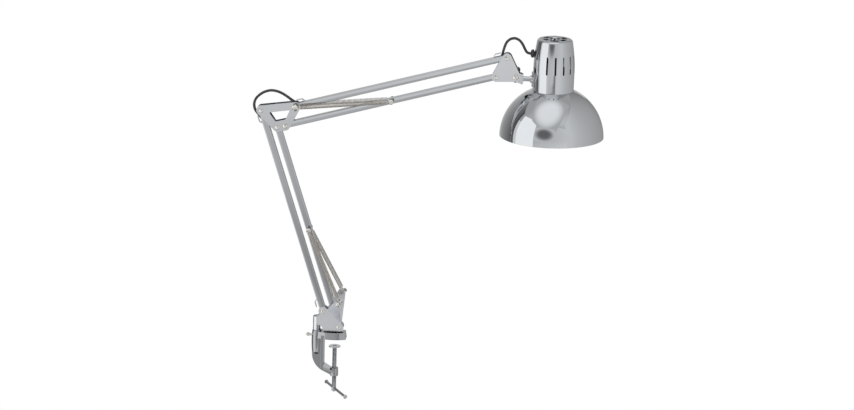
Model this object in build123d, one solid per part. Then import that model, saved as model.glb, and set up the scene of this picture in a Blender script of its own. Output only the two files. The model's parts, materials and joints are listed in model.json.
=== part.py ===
"""Chromed clamp lamp on a spring balanced double parallelogram arm.

Millimetres and degrees. X runs from the clamp towards the lamp head, Z is up and the arm
lies in the plane Y = 0, so every pivot of the arm turns about a line along Y. The origin
is on the clamp screw's axis, on the flat underside of the upper jaw.
"""
from build123d import *
import math
import os

os.makedirs("parts", exist_ok=True)

# Clearances
RUN_GAP = 0.05          # radial gap of a pin that turns or slides in its hole
OPEN_PIVOT_GAP = 0.10   # radial gap at the one pivot where each closed linkage is cut
SEAT_GAP = 0.05         # gap between flat faces that only touch
WIRE_GAP = 0.40         # gap between a spring's eye and the pin that it hooks on

# Table clamp
JAW_REACH = 19.0            # screw axis to the free end of the upper jaw
JAW_HALF_WIDTH = 14.0
JAW_END_HALF_WIDTH = 9.5
JAW_THICKNESS = 11.5
JAW_DRAFT = 7.0
THROAT = 18.0               # screw axis to the inner face of the frame's back
FLANGE_THICKNESS = 4.0
FLANGE_HALF_WIDTH = 13.5
WEB_HALF_WIDTH = 4.5
BACK_DROP = 48.0            # jaw face to the inner corner of the lower arm
ARM_SLOPE = 25.5            # fall of the lower arm towards the screw boss
BACK_CURVE = 34.0           # radius of the frame's outer back
BOSS_RADIUS = 6.6
BOSS_TOP = 52.0             # below the jaw face
BOSS_LENGTH = 14.0
SWIVEL_X = -30.0            # axis of the socket that the arm turns in
SOCKET_RADIUS = 8.9
SOCKET_END_RADIUS = 8.0
SOCKET_TOP = 12.0
SOCKET_DEPTH = 41.0
SOCKET_FLOOR = 4.5

# Clamp screw, its pad and its tommy bar
SCREW_RADIUS = 3.75
SCREW_LENGTH = 76.0
JAW_OPENING = 14.0          # jaw face to pad at rest
PAD_RADIUS = 9.9
PAD_RIM = 1.3
PAD_HEIGHT = 3.4
PAD_RECESS_RADIUS = 3.3
PAD_RECESS_DEPTH = 1.1
PAD_STEM_RADIUS = 2.0
TOMMY_RADIUS = 2.2
TOMMY_LENGTH = 86.0
TOMMY_HEAD_RADIUS = 3.5
TOMMY_HEAD_LENGTH = 5.0
TOMMY_SHIFT = 8.6           # how far the bar is pushed through at rest
TOMMY_ABOVE_END = 5.6       # cross hole above the screw's lower end
TOMMY_HEADING = -62.0       # bar's heading from +X, towards the near side

# Swivel post, its thumbscrew and the base bracket
POST_RADIUS = 5.5
POST_TOP = 37.0
COLLAR_RADIUS = 7.2
COLLAR_HEIGHT = 2.0
THUMB_Z = 4.0
THUMB_RADIUS = 2.0
THUMB_HEAD_RADIUS = 3.2
THUMB_HEAD_HALF = 1.9
THUMB_STICKS_OUT = 5.8
SHEET = 1.5                 # thickness of the bracket and of the joint plates
BRACKET_EAR_BEND = 50.0     # how far each ear is bent outwards
BRACKET_EAR_REACH = 41.0    # bend line to the spring pin, along the ear
BRACKET_EAR_SHIFT = -15.0   # pin's place along the bend line, from its middle
BRACKET_EAR_RADIUS = 6.5
BRACKET_CORNER = 7.5        # plate radius round each base pivot
BRACKET_NOTCH = 9.0

# Arm: pivot to pivot sizes and the pose in which the lamp is drawn
LOWER_ARM = 354.6
LOWER_LEAN = 17.65          # lean of the lower arm away from the head, from upright
LOWER_SPREAD = 38.1         # between the two pivots at each end of the lower arm
LOWER_SPREAD_ANGLE = -44.8
UPPER_ARM = 356.2
UPPER_RISE = 15.7           # rise of the upper arm from level
UPPER_SPREAD = 36.2
UPPER_SPREAD_ANGLE = 63.1
BASE_PIVOT = (-20.2, 47.3)  # rear pivot of the lower arm, in X and Z
ELBOW_STEP = 13.1           # front pivot of the lower arm to the lower pivot of the upper arm
ELBOW_STEP_ANGLE = 11.7
BAR = 10.0                  # square tube
BAR_WALL = 0.9
BAR_CORNER = 1.2            # rounding of the tube's long edges
PLATE_SIDE_GAP = 0.6        # bar to joint plate, filled by a washer
ELBOW_CORNER = 8.0
HEAD_CORNER = 7.6

# Rivets, washers and spring pins
RIVET_RADIUS = 2.5
RIVET_HEAD_RADIUS = 3.9
RIVET_HEAD_HEIGHT = 1.9
WASHER_RADIUS = 4.6
SPRING_PIN_NECK = 2.0
SPRING_PIN_HEAD = 3.9
SPRING_PIN_HEAD_LENGTH = 2.2
SPRING_PIN_REACH = 11.0     # bar face or plate face to the end of the pin
KNOB_RADIUS = 5.4           # bell shaped ends of the elbow's spring pin
LOWER_SPRING_AT = 174.0     # spring pin from the base pivot, along the front bar
UPPER_SPRING_AT = 180.0     # spring pin from the elbow pivot, along the lower bar

# Springs
WIRE = 1.3
COIL_RADIUS = 3.3           # to the middle of the wire
SPRING_TURNS = 16
EYE_OPENING = 70.0          # half angle of the gap in each end eye
SPRING_LEAD = 5.0           # from the eye to the first turn

# Cord
CORD = 4.4
HOOD_WIDTH = 6.6
HOOD_HEIGHT = 4.0           # bar face to the underside of the bridge
HOOD_LENGTH = 13.0
HOOD_SLOPE_LENGTH = 4.0
SLOT_WIDTH = 5.4
CORD_PAST_MOUTH = 4.0       # how far a held run goes on past the bridge's mouth
CORD_LEAD = 6.0             # straight start of a loop, in line with the run
# Bridges: pivot to the mouth, the cord's climb there and its height above the bar's axis
FOOT_HOOD = (8.0, 36.0, 6.0)
LOWER_HOOD = (9.0, 25.0, 6.0)
ELBOW_HOOD = (3.5, 45.0, 4.0)
HEAD_HOOD = (8.6, 62.0, 2.5)
# Free loops: points in X and Z from the rear elbow pivot, and from the upper head pivot
ELBOW_LOOP = (
    (-12.4, 3.4), (-12.6, 11.2), (-9.6, 18.7), (-3.4, 25.1), (5.0, 30.4),
    (15.3, 33.2), (26.0, 31.7), (35.4, 27.6), (43.2, 22.6),
)
HEAD_LOOP = (
    (-4.6, 17.2), (-1.3, 25.0), (4.7, 30.8), (12.5, 32.4), (19.9, 29.0), (24.9, 22.2), (27.9, 15.4),
)

# Head joint
TILT_STEP = (31.8, 1.35)    # lower head pivot to the tilt screw, in X and Z
ROD_DROP = 3.3              # tilt screw to the rod's axis
ROD_RADIUS = 4.0
ROD_TENON_RADIUS = 3.0
KNUCKLE_SHEET = 1.6
KNUCKLE_RADIUS = 7.4
KNUCKLE_REACH = 11.6
TILT_HEAD_RADIUS = 4.4
TILT_HEAD_HEIGHT = 2.6
TILT_WASHER_RADIUS = 5.6
TILT_WASHER_THICKNESS = 0.8
TILT_KNOB_RADIUS = 12.6
TILT_KNOB_HEIGHT = 9.5
TILT_KNOB_LOBES = 2
TILT_KNOB_TURN = 80.0       # heading of the first lobe, from +X

# Lamp head
HEAD_STEP = 60.7            # tilt screw to the head's upright axis
FOOT_DROP = 20.2            # tilt screw to the housing's foot
SHADE_RADIUS = 85.0
SHADE_WALL = 1.0
SHADE_CENTRE_DROP = 1.5     # centre of the dome below the rim
SHADE_HEM = 1.1
NECK_RADIUS = 34.5          # flat ring round the top of the dome
NECK_OPENING = 31.4
NECK_HEIGHT = 7.0
HOUSING_HEIGHT = 84.7
HOUSING_FOOT_RADIUS = 33.2
HOUSING_BELLY_RADIUS = 33.6
HOUSING_BELLY_AT = 31.0
HOUSING_TOP_RADIUS = 29.0
HOUSING_WALL = 1.2
HOUSING_ROUND = 4.0
SLOT_COUNT = 10
SLOT_PITCH = 24.0
SLOT_RADIUS = 1.5
SLOT_LOW = 30.8             # above the housing's foot
SLOT_HIGH = 60.5
VENT_COUNT = 6
VENT_INNER = 12.0
VENT_OUTER = 20.0
VENT_HALF_ANGLE = 20.0

# Saddle that carries the head on the rod
SADDLE_SHEET = 2.0
SADDLE_HALF_ANGLE = 26.0
SADDLE_HALF_HEIGHT = 11.0
SADDLE_BOSS_RADIUS = 6.0
SADDLE_BOSS_REACH = 2.0
SADDLE_RIVET_RADIUS = 1.6
SADDLE_RIVET_ANGLE = 17.0    # each rivet's place round the housing, from the rod
ROD_NUT_RADIUS = 5.6
ROD_NUT_THICKNESS = 4.0
ROD_PAST_NUT = 0.7

# Lampholder
HOLDER_BORE = 13.3
HOLDER_SLEEVE_WALL = 0.7
HOLDER_SLEEVE_DEPTH = 23.0
HOLDER_BODY_RADIUS = 17.5
HOLDER_BODY_HEIGHT = 46.0
HOLDER_MOUTH_ABOVE_FOOT = 7.0
CONTACT_RADIUS = 4.0
CONTACT_HEIGHT = 3.0
NIPPLE_RADIUS = 5.0
NIPPLE_BORE = 3.2
CAP_NUT_RADIUS = 8.0
CAP_NUT_HEIGHT = 4.0

# Cord grommet in the housing wall
GROMMET_ABOVE_FOOT = 59.2
GROMMET_RADIUS = 6.8
GROMMET_REACH = 6.4
GROMMET_NECK_RADIUS = 4.2
GROMMET_LEAD = 5.5          # straight end of the cord loop in front of it
GROMMET_TAIL = 9.6          # straight cord behind the wall
GROMMET_SEAT = 0.8          # flange off the wall at the middle, as the wall leans

# Points that follow from the sizes above, in X and Z


def polar(length, angle):
    """A step of the given length at an angle from +X towards +Z."""
    return (length * math.cos(math.radians(angle)), length * math.sin(math.radians(angle)))


def shift(point, step, times=1.0):
    """A point moved by a step."""
    return (point[0] + times * step[0], point[1] + times * step[1])


LOWER_DIRECTION = polar(1.0, 90.0 + LOWER_LEAN)
UPPER_DIRECTION = polar(1.0, UPPER_RISE)
base_rear = BASE_PIVOT
base_front = shift(base_rear, polar(LOWER_SPREAD, LOWER_SPREAD_ANGLE))
elbow_rear = shift(base_rear, LOWER_DIRECTION, LOWER_ARM)
elbow_front = shift(base_front, LOWER_DIRECTION, LOWER_ARM)
elbow_low = shift(elbow_front, polar(ELBOW_STEP, ELBOW_STEP_ANGLE))
elbow_high = shift(elbow_low, polar(UPPER_SPREAD, UPPER_SPREAD_ANGLE))
head_low = shift(elbow_low, UPPER_DIRECTION, UPPER_ARM)
head_high = shift(elbow_high, UPPER_DIRECTION, UPPER_ARM)
tilt = shift(head_low, TILT_STEP)
lower_spring_pin_at = shift(base_front, LOWER_DIRECTION, LOWER_SPRING_AT)
upper_spring_pin_at = shift(elbow_low, UPPER_DIRECTION, UPPER_SPRING_AT)

lower_back = (-LOWER_DIRECTION[0], -LOWER_DIRECTION[1])
upper_back = (-UPPER_DIRECTION[0], -UPPER_DIRECTION[1])

plate_in = BAR / 2 + PLATE_SIDE_GAP
plate_out = plate_in + SHEET
rod_z = tilt[1] - ROD_DROP
head_x = tilt[0] + HEAD_STEP
foot_z = tilt[1] - FOOT_DROP
dome_z = foot_z - math.sqrt(SHADE_RADIUS**2 - NECK_RADIUS**2)
housing_top_z = foot_z + HOUSING_HEIGHT
screw_bottom = -JAW_OPENING - PAD_HEIGHT - SCREW_LENGTH


# Shared shapes


def slab(profile, low_y, high_y):
    """A profile drawn in X and Z, made solid between two values of Y."""
    return extrude(Plane.XZ.offset(-high_y) * profile, high_y - low_y)


def pin_y(point, radius, low_y, high_y):
    """A cylinder along Y through a point given in X and Z."""
    return slab(Pos(*point) * Circle(radius), low_y, high_y)


def hull(*circles):
    """The convex outline round circles given as ((x, z), radius)."""
    edges = [(Pos(*point) * Circle(radius)).edge() for point, radius in circles]
    return make_hull(edges)


def turned(points, axis):
    """A ring made by turning a closed outline of (radius, height) points about an axis.

    The axis is a Plane whose z direction is the axis of the ring.
    """
    face = make_face(Polyline(*[(radius, 0, height) for radius, height in points], close=True))
    return axis * revolve(face, Axis.Z)


def upright(x, y=0.0):
    """A plane on an upright axis."""
    return Plane(origin=(x, y, 0), x_dir=(1, 0, 0), z_dir=(0, 0, 1))


def along_y(point, side):
    """A plane on a pivot's axis, facing out of the near (-1) or far (+1) side."""
    return Plane(origin=(point[0], 0, point[1]), x_dir=(1, 0, 0), z_dir=(0, side, 0))


def dome_head(radius, height, start):
    """Outline of a domed head that stands on the height given by start."""
    return [
        (0, start),
        (radius, start),
        (radius, start + 0.35 * height),
        (0.8 * radius, start + 0.8 * height),
        (0.45 * radius, start + height),
        (0, start + height),
    ]


def rivet(point, seat):
    """A rivet through two plates, with a domed head on both outer faces."""
    body = pin_y(point, RIVET_RADIUS, -seat, seat)
    for side in (-1, 1):
        body += turned(dome_head(RIVET_HEAD_RADIUS, RIVET_HEAD_HEIGHT, seat), along_y(point, side))
    return body


def washers(points):
    """The pair of washers that fills the side gap at each pivot."""
    rings = []
    ring = Circle(WASHER_RADIUS) - Circle(RIVET_RADIUS + RUN_GAP)
    for point in points:
        for side in (-1, 1):
            low = BAR / 2 + SEAT_GAP
            high = plate_in - SEAT_GAP
            ends = sorted((side * low, side * high))
            rings.append(slab(Pos(*point) * ring, *ends))
    return rings


def spring_pin_end(start, reach, head_radius, head_length):
    """Outline of a spring pin's outer end: a neck for the eye, then a head."""
    end = start + reach
    return [
        (0, start),
        (SPRING_PIN_NECK, start),
        (SPRING_PIN_NECK, end - head_length),
        (head_radius, end - head_length),
        (head_radius, end - 0.5 * head_length),
        (0.7 * head_radius, end),
        (0, end),
    ]


def bell_end(start, reach):
    """Outline of the bell shaped end of the elbow's spring pin."""
    end = start + reach
    return [
        (0, start),
        (SPRING_PIN_NECK, start),
        (SPRING_PIN_NECK, end - 4.5),
        (KNOB_RADIUS, end - 4.0),
        (0.92 * KNOB_RADIUS, end - 1.8),
        (0.6 * KNOB_RADIUS, end - 0.3),
        (0, end),
    ]


def bar_point(start, direction, along, out):
    """A point on a bar, along it from a pivot and out from its axis to the left of its heading."""
    left = (-direction[1], direction[0])
    return shift(shift(start, direction, along), left, out)


def square_bar(start, end, holes):
    """A square tube with rounded ends, drilled along Y at (point, radius) holes."""
    heading = math.degrees(math.atan2(end[1] - start[1], end[0] - start[0]))
    length = math.dist(start, end)
    middle = ((start[0] + end[0]) / 2, (start[1] + end[1]) / 2)
    place = Pos(*middle) * Rot(0, 0, heading)
    outer = place * SlotCenterToCenter(length, BAR)
    inside = place * Rectangle(length + 2 * BAR, BAR - 2 * BAR_WALL)
    half_bore = BAR / 2 - BAR_WALL
    body = slab(outer, -BAR / 2, BAR / 2)
    rims = [edge for face in (body.faces().sort_by(Axis.Y)[0], body.faces().sort_by(Axis.Y)[-1])
            for edge in face.edges()]
    bar = fillet(rims, BAR_CORNER) - slab(inside, -half_bore, half_bore)
    for point, radius in holes:
        bar -= pin_y(point, radius, -BAR, BAR)
    return bar


def cord_dip(hood):
    """From the pivot to the point where the cord leaves the bar's axis for a bridge."""
    mouth, climb, height = hood
    return mouth + height / math.tan(math.radians(climb))


def cord_hood(start, direction, side, hood):
    """A lanced bridge on a bar's face and the slot under it, for a cord that passes there.

    The bridge opens towards the pivot at start. side is +1 for the face on the left of the
    heading, and -1 for the other face.
    """
    mouth, climb, _ = hood
    face = BAR / 2
    top = face + HOOD_HEIGHT
    root = mouth + HOOD_LENGTH
    shoulder = root - HOOD_SLOPE_LENGTH
    slot_end = root - BAR_WALL / 2
    outline = [
        (root + BAR_WALL, face - BAR_WALL),
        (root + BAR_WALL, face),
        (shoulder + BAR_WALL / 2, top + BAR_WALL),
        (mouth, top + BAR_WALL),
        (mouth, top),
        (shoulder, top),
        (slot_end, face - BAR_WALL),
    ]
    points = [bar_point(start, direction, along, side * out) for along, out in outline]
    strip = slab(make_face(Polyline(*points, close=True)), -HOOD_WIDTH / 2, HOOD_WIDTH / 2)
    lean = math.radians(climb)
    slot_start = cord_dip(hood) - face / math.tan(lean) - SLOT_WIDTH / 2 / math.sin(lean)
    if slot_start < 0:
        slot_start = -BAR    # a slot that reaches the pivot runs out of the bar's end
    corners = [
        (slot_start, face - 2 * BAR_WALL),
        (slot_end, face - 2 * BAR_WALL),
        (slot_end, face + BAR_WALL),
        (slot_start, face + BAR_WALL),
    ]
    points = [bar_point(start, direction, along, side * out) for along, out in corners]
    slot = slab(make_face(Polyline(*points, close=True)), -SLOT_WIDTH / 2, SLOT_WIDTH / 2)
    return strip, slot


def cord_exit(start, direction, side, hood, past):
    """A point on the cord's axis where it climbs out of a bridge, that far past its mouth."""
    mouth, climb, height = hood
    step = polar(past, climb)
    return bar_point(start, direction, mouth - step[0], side * (height + step[1]))


def bend_radii(points):
    """Radius of the arc at each corner of a route, as large as the runs beside it allow."""
    spots = [Vector(x, y, z) for x, y, z in points]
    radii = []
    for before, corner, after in zip(spots, spots[1:], spots[2:]):
        turn = (corner - before).get_angle(after - corner)
        shorter = min((corner - before).length, (after - corner).length)
        radii.append(0.45 * shorter / math.tan(math.radians(turn / 2)))
    return radii


def cord_tube(name, points, radii):
    """A cord along straight runs joined by arcs."""
    spots = [Vector(x, y, z) for x, y, z in points]
    path = FilletPolyline(*spots, radius=radii)
    start = Plane(origin=spots[0], z_dir=spots[1] - spots[0])
    tube = sweep(start * Circle(CORD / 2), path=path)
    expected = math.pi * CORD**2 / 4 * path.length
    print(name, "length", round(path.length, 1), "volume ratio", round(tube.volume / expected, 4))
    print("  radii", [round(radius, 1) for radius in radii])
    return tube


def biarc(first, first_heading, last, last_heading):
    """Two tangent arcs from one point and heading to another."""
    chord = last - first
    both = first_heading + last_heading
    spread = 2 * (1 - first_heading.dot(last_heading))
    reach = chord.dot(both)
    step = (math.sqrt(reach**2 + spread * chord.dot(chord)) - reach) / spread
    middle = (first + last + (first_heading - last_heading) * step) * 0.5
    return [
        TangentArc(first, middle, tangent=first_heading),
        TangentArc(middle, last, tangent=last_heading * -1, tangent_from_first=False),
    ]


def spring_end(pin, axis, pin_axis, eye_radius):
    """A spring's eye round a pin and its lead to the coil: edges, coil start and frame."""
    side = pin_axis.cross(axis).normalized()
    out = axis.cross(side)

    def on_eye(angle):
        turn = math.radians(angle)
        return pin + (axis * math.cos(turn) + side * math.sin(turn)) * eye_radius

    def heading(angle):
        turn = math.radians(angle)
        return side * math.cos(turn) - axis * math.sin(turn)

    first = on_eye(EYE_OPENING)
    far = on_eye(180)
    last = on_eye(360 - EYE_OPENING)
    tail = first - heading(EYE_OPENING) * WIRE
    coil_start = pin + axis * (eye_radius + SPRING_LEAD) - out * COIL_RADIUS
    edges = [
        Line(tail, first),
        TangentArc(first, far, tangent=heading(EYE_OPENING)),
        TangentArc(far, last, tangent=heading(180)),
    ]
    return edges, tail, last, heading(360 - EYE_OPENING), coil_start, side, out


def spring(name, first_pin, first_axis, last_pin, last_axis):
    """One unbroken wire: an eye on each pin and a coil between them, on half turn biarcs."""
    axis = (last_pin - first_pin).normalized()
    eye = SPRING_PIN_NECK + WIRE_GAP + WIRE / 2
    start = spring_end(first_pin, axis, first_axis, eye)
    finish = spring_end(last_pin, axis * -1, last_axis, eye)
    edges, tail, leave, leave_heading, coil_start, side, out = start
    length = (last_pin - first_pin).length - 2 * (eye + SPRING_LEAD)
    last_out = (finish[4] - last_pin) - axis * (finish[4] - last_pin).dot(axis)
    end_angle = math.degrees(math.atan2(last_out.dot(out), last_out.dot(side)))
    first_angle = -90.0
    sweep_angle = 360.0 * SPRING_TURNS + (end_angle - first_angle) % 360.0
    rise = length / math.radians(sweep_angle)
    foot = first_pin + axis * (eye + SPRING_LEAD)

    def on_coil(angle):
        turn = math.radians(angle)
        ring = side * math.cos(turn) + out * math.sin(turn)
        return foot + axis * (rise * math.radians(angle - first_angle)) + ring * COIL_RADIUS

    def heading(angle):
        turn = math.radians(angle)
        ring = out * math.cos(turn) - side * math.sin(turn)
        return (ring * COIL_RADIUS + axis * rise).normalized()

    edges = edges + biarc(leave, leave_heading, coil_start, heading(first_angle))
    pieces = math.ceil(sweep_angle / 180.0)
    stops = [first_angle + sweep_angle * i / pieces for i in range(pieces + 1)]
    for low, high in zip(stops, stops[1:]):
        edges += biarc(on_coil(low), heading(low), on_coil(high), heading(high))
    last_heading = heading(stops[-1])
    edges += biarc(on_coil(stops[-1]), last_heading, finish[2], finish[3] * -1)
    edges += finish[0]
    wire = Wire(edges)
    begin = Plane(origin=tail, z_dir=edges[0] % 0)
    tube = sweep(begin * Circle(WIRE / 2), path=wire)
    report_spring(name, wire, edges)
    return tube


def report_spring(name, wire, edges):
    """Print a spring's least gap to itself, measured on points, and its tightest arc."""
    count = 2400
    spots = [wire @ (i / count) for i in range(count + 1)]
    step = wire.length / count
    skip = math.ceil(2.5 * COIL_RADIUS / step)
    window = math.ceil(3 * math.pi * COIL_RADIUS / step)
    least = min(
        (spots[i] - spots[j]).length
        for i in range(count + 1)
        for j in range(i + skip, min(i + window, count) + 1)
    )
    arcs = [edge.radius for edge in edges if edge.geom_type == GeomType.CIRCLE]
    print(name, "wire length", round(wire.length, 1), "least gap", round(least - WIRE, 2),
          "tightest arc", round(min(arcs), 2))


# Table clamp


def make_clamp_frame():
    """Cast C frame: drafted jaw, socket for the post, T section back and screw boss."""
    flange_back = -THROAT - FLANGE_THICKNESS
    slope = math.tan(math.radians(ARM_SLOPE))
    skin = FLANGE_THICKNESS / math.cos(math.radians(ARM_SLOPE))
    corner = (-THROAT, -BACK_DROP)
    arm_end = (0.0, -BACK_DROP - THROAT * slope)
    under = -BACK_DROP - skin + FLANGE_THICKNESS * slope
    boss_low = -BOSS_TOP - BOSS_LENGTH
    flange = Polyline(
        (-THROAT, JAW_THICKNESS / 2), corner, arm_end, (0.0, arm_end[1] - skin),
        (flange_back, under), (flange_back, JAW_THICKNESS / 2), close=True,
    )
    plan = make_hull(
        (Rectangle(FLANGE_THICKNESS, 2 * FLANGE_HALF_WIDTH).moved(
            Pos(-THROAT - FLANGE_THICKNESS / 2, 0))).edges() + Circle(BOSS_RADIUS).edges()
    )
    frame = slab(make_face(flange), -FLANGE_HALF_WIDTH, FLANGE_HALF_WIDTH)
    frame &= Pos(0, 0, boss_low) * extrude(plan, JAW_THICKNESS - boss_low)

    back_top = SOCKET_TOP - SOCKET_DEPTH + SOCKET_FLOOR
    back_x = SWIVEL_X - SOCKET_END_RADIUS + 0.6
    heel = (flange_back + 1.0, -BACK_DROP - skin - FLANGE_THICKNESS)
    web_line = RadiusArc((back_x, back_top), heel, -BACK_CURVE)
    web_edges = web_line + Polyline(
        heel, (-BOSS_RADIUS / 2, boss_low + 1.0), (0, boss_low + 1.0), (0, arm_end[1] - skin / 2),
        (flange_back + 1.0, under + 0.5), (flange_back + 1.0, back_top), (back_x, back_top),
    )
    frame += slab(make_face(web_edges), -WEB_HALF_WIDTH, WEB_HALF_WIDTH)
    rib = Polyline(
        (SWIVEL_X, SOCKET_TOP - 1.0), (flange_back + 1.0, JAW_THICKNESS / 2),
        (flange_back + 1.0, back_top - 2.0), (SWIVEL_X, back_top - 2.0), close=True,
    )
    frame += slab(make_face(rib), -WEB_HALF_WIDTH - 2.0, WEB_HALF_WIDTH + 2.0)

    side_line = ThreePointArc(
        (SWIVEL_X, -SOCKET_END_RADIUS), (SWIVEL_X / 3, -JAW_HALF_WIDTH),
        (JAW_REACH, -JAW_END_HALF_WIDTH),
    )
    jaw_line = side_line + mirror(side_line, Plane.XZ) + [
        Line((JAW_REACH, -JAW_END_HALF_WIDTH), (JAW_REACH, JAW_END_HALF_WIDTH)),
        Line((SWIVEL_X, -SOCKET_END_RADIUS), (SWIVEL_X, SOCKET_END_RADIUS)),
    ]
    frame += extrude(make_face(jaw_line), JAW_THICKNESS, taper=JAW_DRAFT)

    socket_low = SOCKET_TOP - SOCKET_DEPTH
    socket_side = ThreePointArc(
        (SOCKET_END_RADIUS, 0, SOCKET_TOP),
        (SOCKET_RADIUS, 0, SOCKET_TOP - SOCKET_DEPTH / 2),
        (SOCKET_END_RADIUS, 0, socket_low + SOCKET_FLOOR),
    )
    socket_line = socket_side + Polyline(
        (SOCKET_END_RADIUS, 0, socket_low + SOCKET_FLOOR), (0.5 * SOCKET_RADIUS, 0, socket_low),
        (0, 0, socket_low), (0, 0, SOCKET_TOP), (SOCKET_END_RADIUS, 0, SOCKET_TOP),
    )
    frame += Pos(SWIVEL_X, 0, 0) * revolve(make_face(socket_line), Axis.Z)
    frame += Pos(0, 0, boss_low) * extrude(Circle(BOSS_RADIUS), BOSS_LENGTH)

    bore = Circle(POST_RADIUS + RUN_GAP)
    frame -= Pos(SWIVEL_X, 0, socket_low + SOCKET_FLOOR) * extrude(bore, SOCKET_DEPTH)
    frame -= Pos(0, 0, boss_low - 1) * extrude(Circle(SCREW_RADIUS + RUN_GAP), BOSS_LENGTH + 2)
    thumb_hole = Plane(origin=(SWIVEL_X, 0, THUMB_Z), z_dir=(-1, 0, 0)) * Circle(THUMB_RADIUS + RUN_GAP)
    frame -= extrude(thumb_hole, 2 * SOCKET_RADIUS)
    return frame


def make_pressure_pad():
    """Saucer on the screw's end, flat where it meets the table top."""
    top = -JAW_OPENING
    outline = [
        (PAD_STEM_RADIUS + RUN_GAP, top - PAD_HEIGHT),
        (SCREW_RADIUS + 1.2, top - PAD_HEIGHT),
        (SCREW_RADIUS + 2.2, top - PAD_HEIGHT + 1.2),
        (PAD_RADIUS, top - PAD_RIM),
        (PAD_RADIUS, top - 0.3 * PAD_RIM),
        (PAD_RADIUS - 0.4, top),
        (PAD_RECESS_RADIUS, top),
        (PAD_RECESS_RADIUS, top - PAD_RECESS_DEPTH),
        (PAD_STEM_RADIUS + RUN_GAP, top - PAD_RECESS_DEPTH),
    ]
    return turned(outline, upright(0))


def tommy_axis():
    """A plane on the tommy bar's axis, at the screw."""
    heading = math.radians(TOMMY_HEADING)
    return Plane(
        origin=(0, 0, screw_bottom + TOMMY_ABOVE_END), x_dir=(0, 0, 1),
        z_dir=(math.cos(heading), math.sin(heading), 0),
    )


def make_clamp_screw():
    """Feed screw with a riveted stem for the pad and a cross hole for the tommy bar."""
    shoulder = -JAW_OPENING - PAD_HEIGHT - SEAT_GAP
    recess = -JAW_OPENING - PAD_RECESS_DEPTH + SEAT_GAP
    outline = [
        (0, screw_bottom),
        (SCREW_RADIUS - 0.8, screw_bottom),
        (SCREW_RADIUS, screw_bottom + 0.8),
        (SCREW_RADIUS, shoulder),
        (PAD_STEM_RADIUS, shoulder),
        (PAD_STEM_RADIUS, recess),
        (PAD_RECESS_RADIUS - 0.5, recess),
        (PAD_STEM_RADIUS, recess + 0.6 * PAD_RECESS_DEPTH),
        (0, recess + 0.6 * PAD_RECESS_DEPTH),
    ]
    hole = tommy_axis() * Circle(TOMMY_RADIUS + RUN_GAP)
    return turned(outline, upright(0)) - extrude(hole, 2 * SCREW_RADIUS, both=True)


def make_tommy_bar():
    """Sliding cross bar with an upset head at each end."""
    half = TOMMY_LENGTH / 2
    neck = half - TOMMY_HEAD_LENGTH
    outline = [(0, -half)]
    for end in (-1, 1):
        ring = [
            (TOMMY_HEAD_RADIUS - 0.6, half), (TOMMY_HEAD_RADIUS, half - 0.8),
            (TOMMY_HEAD_RADIUS - 0.5, half - 2.4), (TOMMY_RADIUS, neck),
        ]
        outline += [(r, end * z) for r, z in (ring if end < 0 else reversed(ring))]
    outline += [(0, half)]
    return turned(outline, tommy_axis().offset(TOMMY_SHIFT))


def make_thumbscrew():
    """Small screw that locks the post, with a flattened round head."""
    post_side = POST_RADIUS + SEAT_GAP
    head = SOCKET_RADIUS + THUMB_STICKS_OUT
    shank = Plane(origin=(SWIVEL_X, 0, THUMB_Z), z_dir=(-1, 0, 0))
    ball = Sphere(THUMB_HEAD_RADIUS) & Box(10 * THUMB_RADIUS, 2 * THUMB_HEAD_HALF, 10 * THUMB_RADIUS)
    body = shank.offset(post_side) * extrude(Circle(THUMB_RADIUS), head - post_side)
    return body + Pos(SWIVEL_X - head, 0, THUMB_Z) * ball


# Base that turns in the socket


def make_base_post():
    """Swivel post with the collar that stands on the socket."""
    low = SOCKET_TOP - SOCKET_DEPTH + SOCKET_FLOOR + 0.5
    outline = [
        (0, low),
        (POST_RADIUS - 0.8, low),
        (POST_RADIUS, low + 0.8),
        (POST_RADIUS, SOCKET_TOP + SEAT_GAP),
        (COLLAR_RADIUS, SOCKET_TOP + SEAT_GAP),
        (COLLAR_RADIUS, SOCKET_TOP + COLLAR_HEIGHT),
        (POST_RADIUS, SOCKET_TOP + COLLAR_HEIGHT),
        (POST_RADIUS, POST_TOP - 1.5),
        (POST_RADIUS - 1.5, POST_TOP),
        (0, POST_TOP),
    ]
    return turned(outline, upright(SWIVEL_X))


def ear_frame():
    """Middle of the near ear's bend line, its heading and the way out along the flat ear."""
    heading = polar(1.0, LOWER_SPREAD_ANGLE)
    out = (-heading[1], heading[0])
    middle = shift(shift(base_rear, heading, LOWER_SPREAD / 2), out, BRACKET_CORNER)
    return middle, heading, out


def bend_ear(flat):
    """The near ear, or what is on it, turned outwards about the bend line."""
    middle, heading, _ = ear_frame()
    line = Axis((middle[0], -plate_in - SHEET / 2, middle[1]), (heading[0], 0, heading[1]))
    return flat.rotate(line, BRACKET_EAR_BEND)


def ear_pin_spot():
    """The spring pin's place on the flat ear."""
    middle, heading, out = ear_frame()
    return shift(shift(middle, heading, BRACKET_EAR_SHIFT), out, BRACKET_EAR_REACH)


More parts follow.
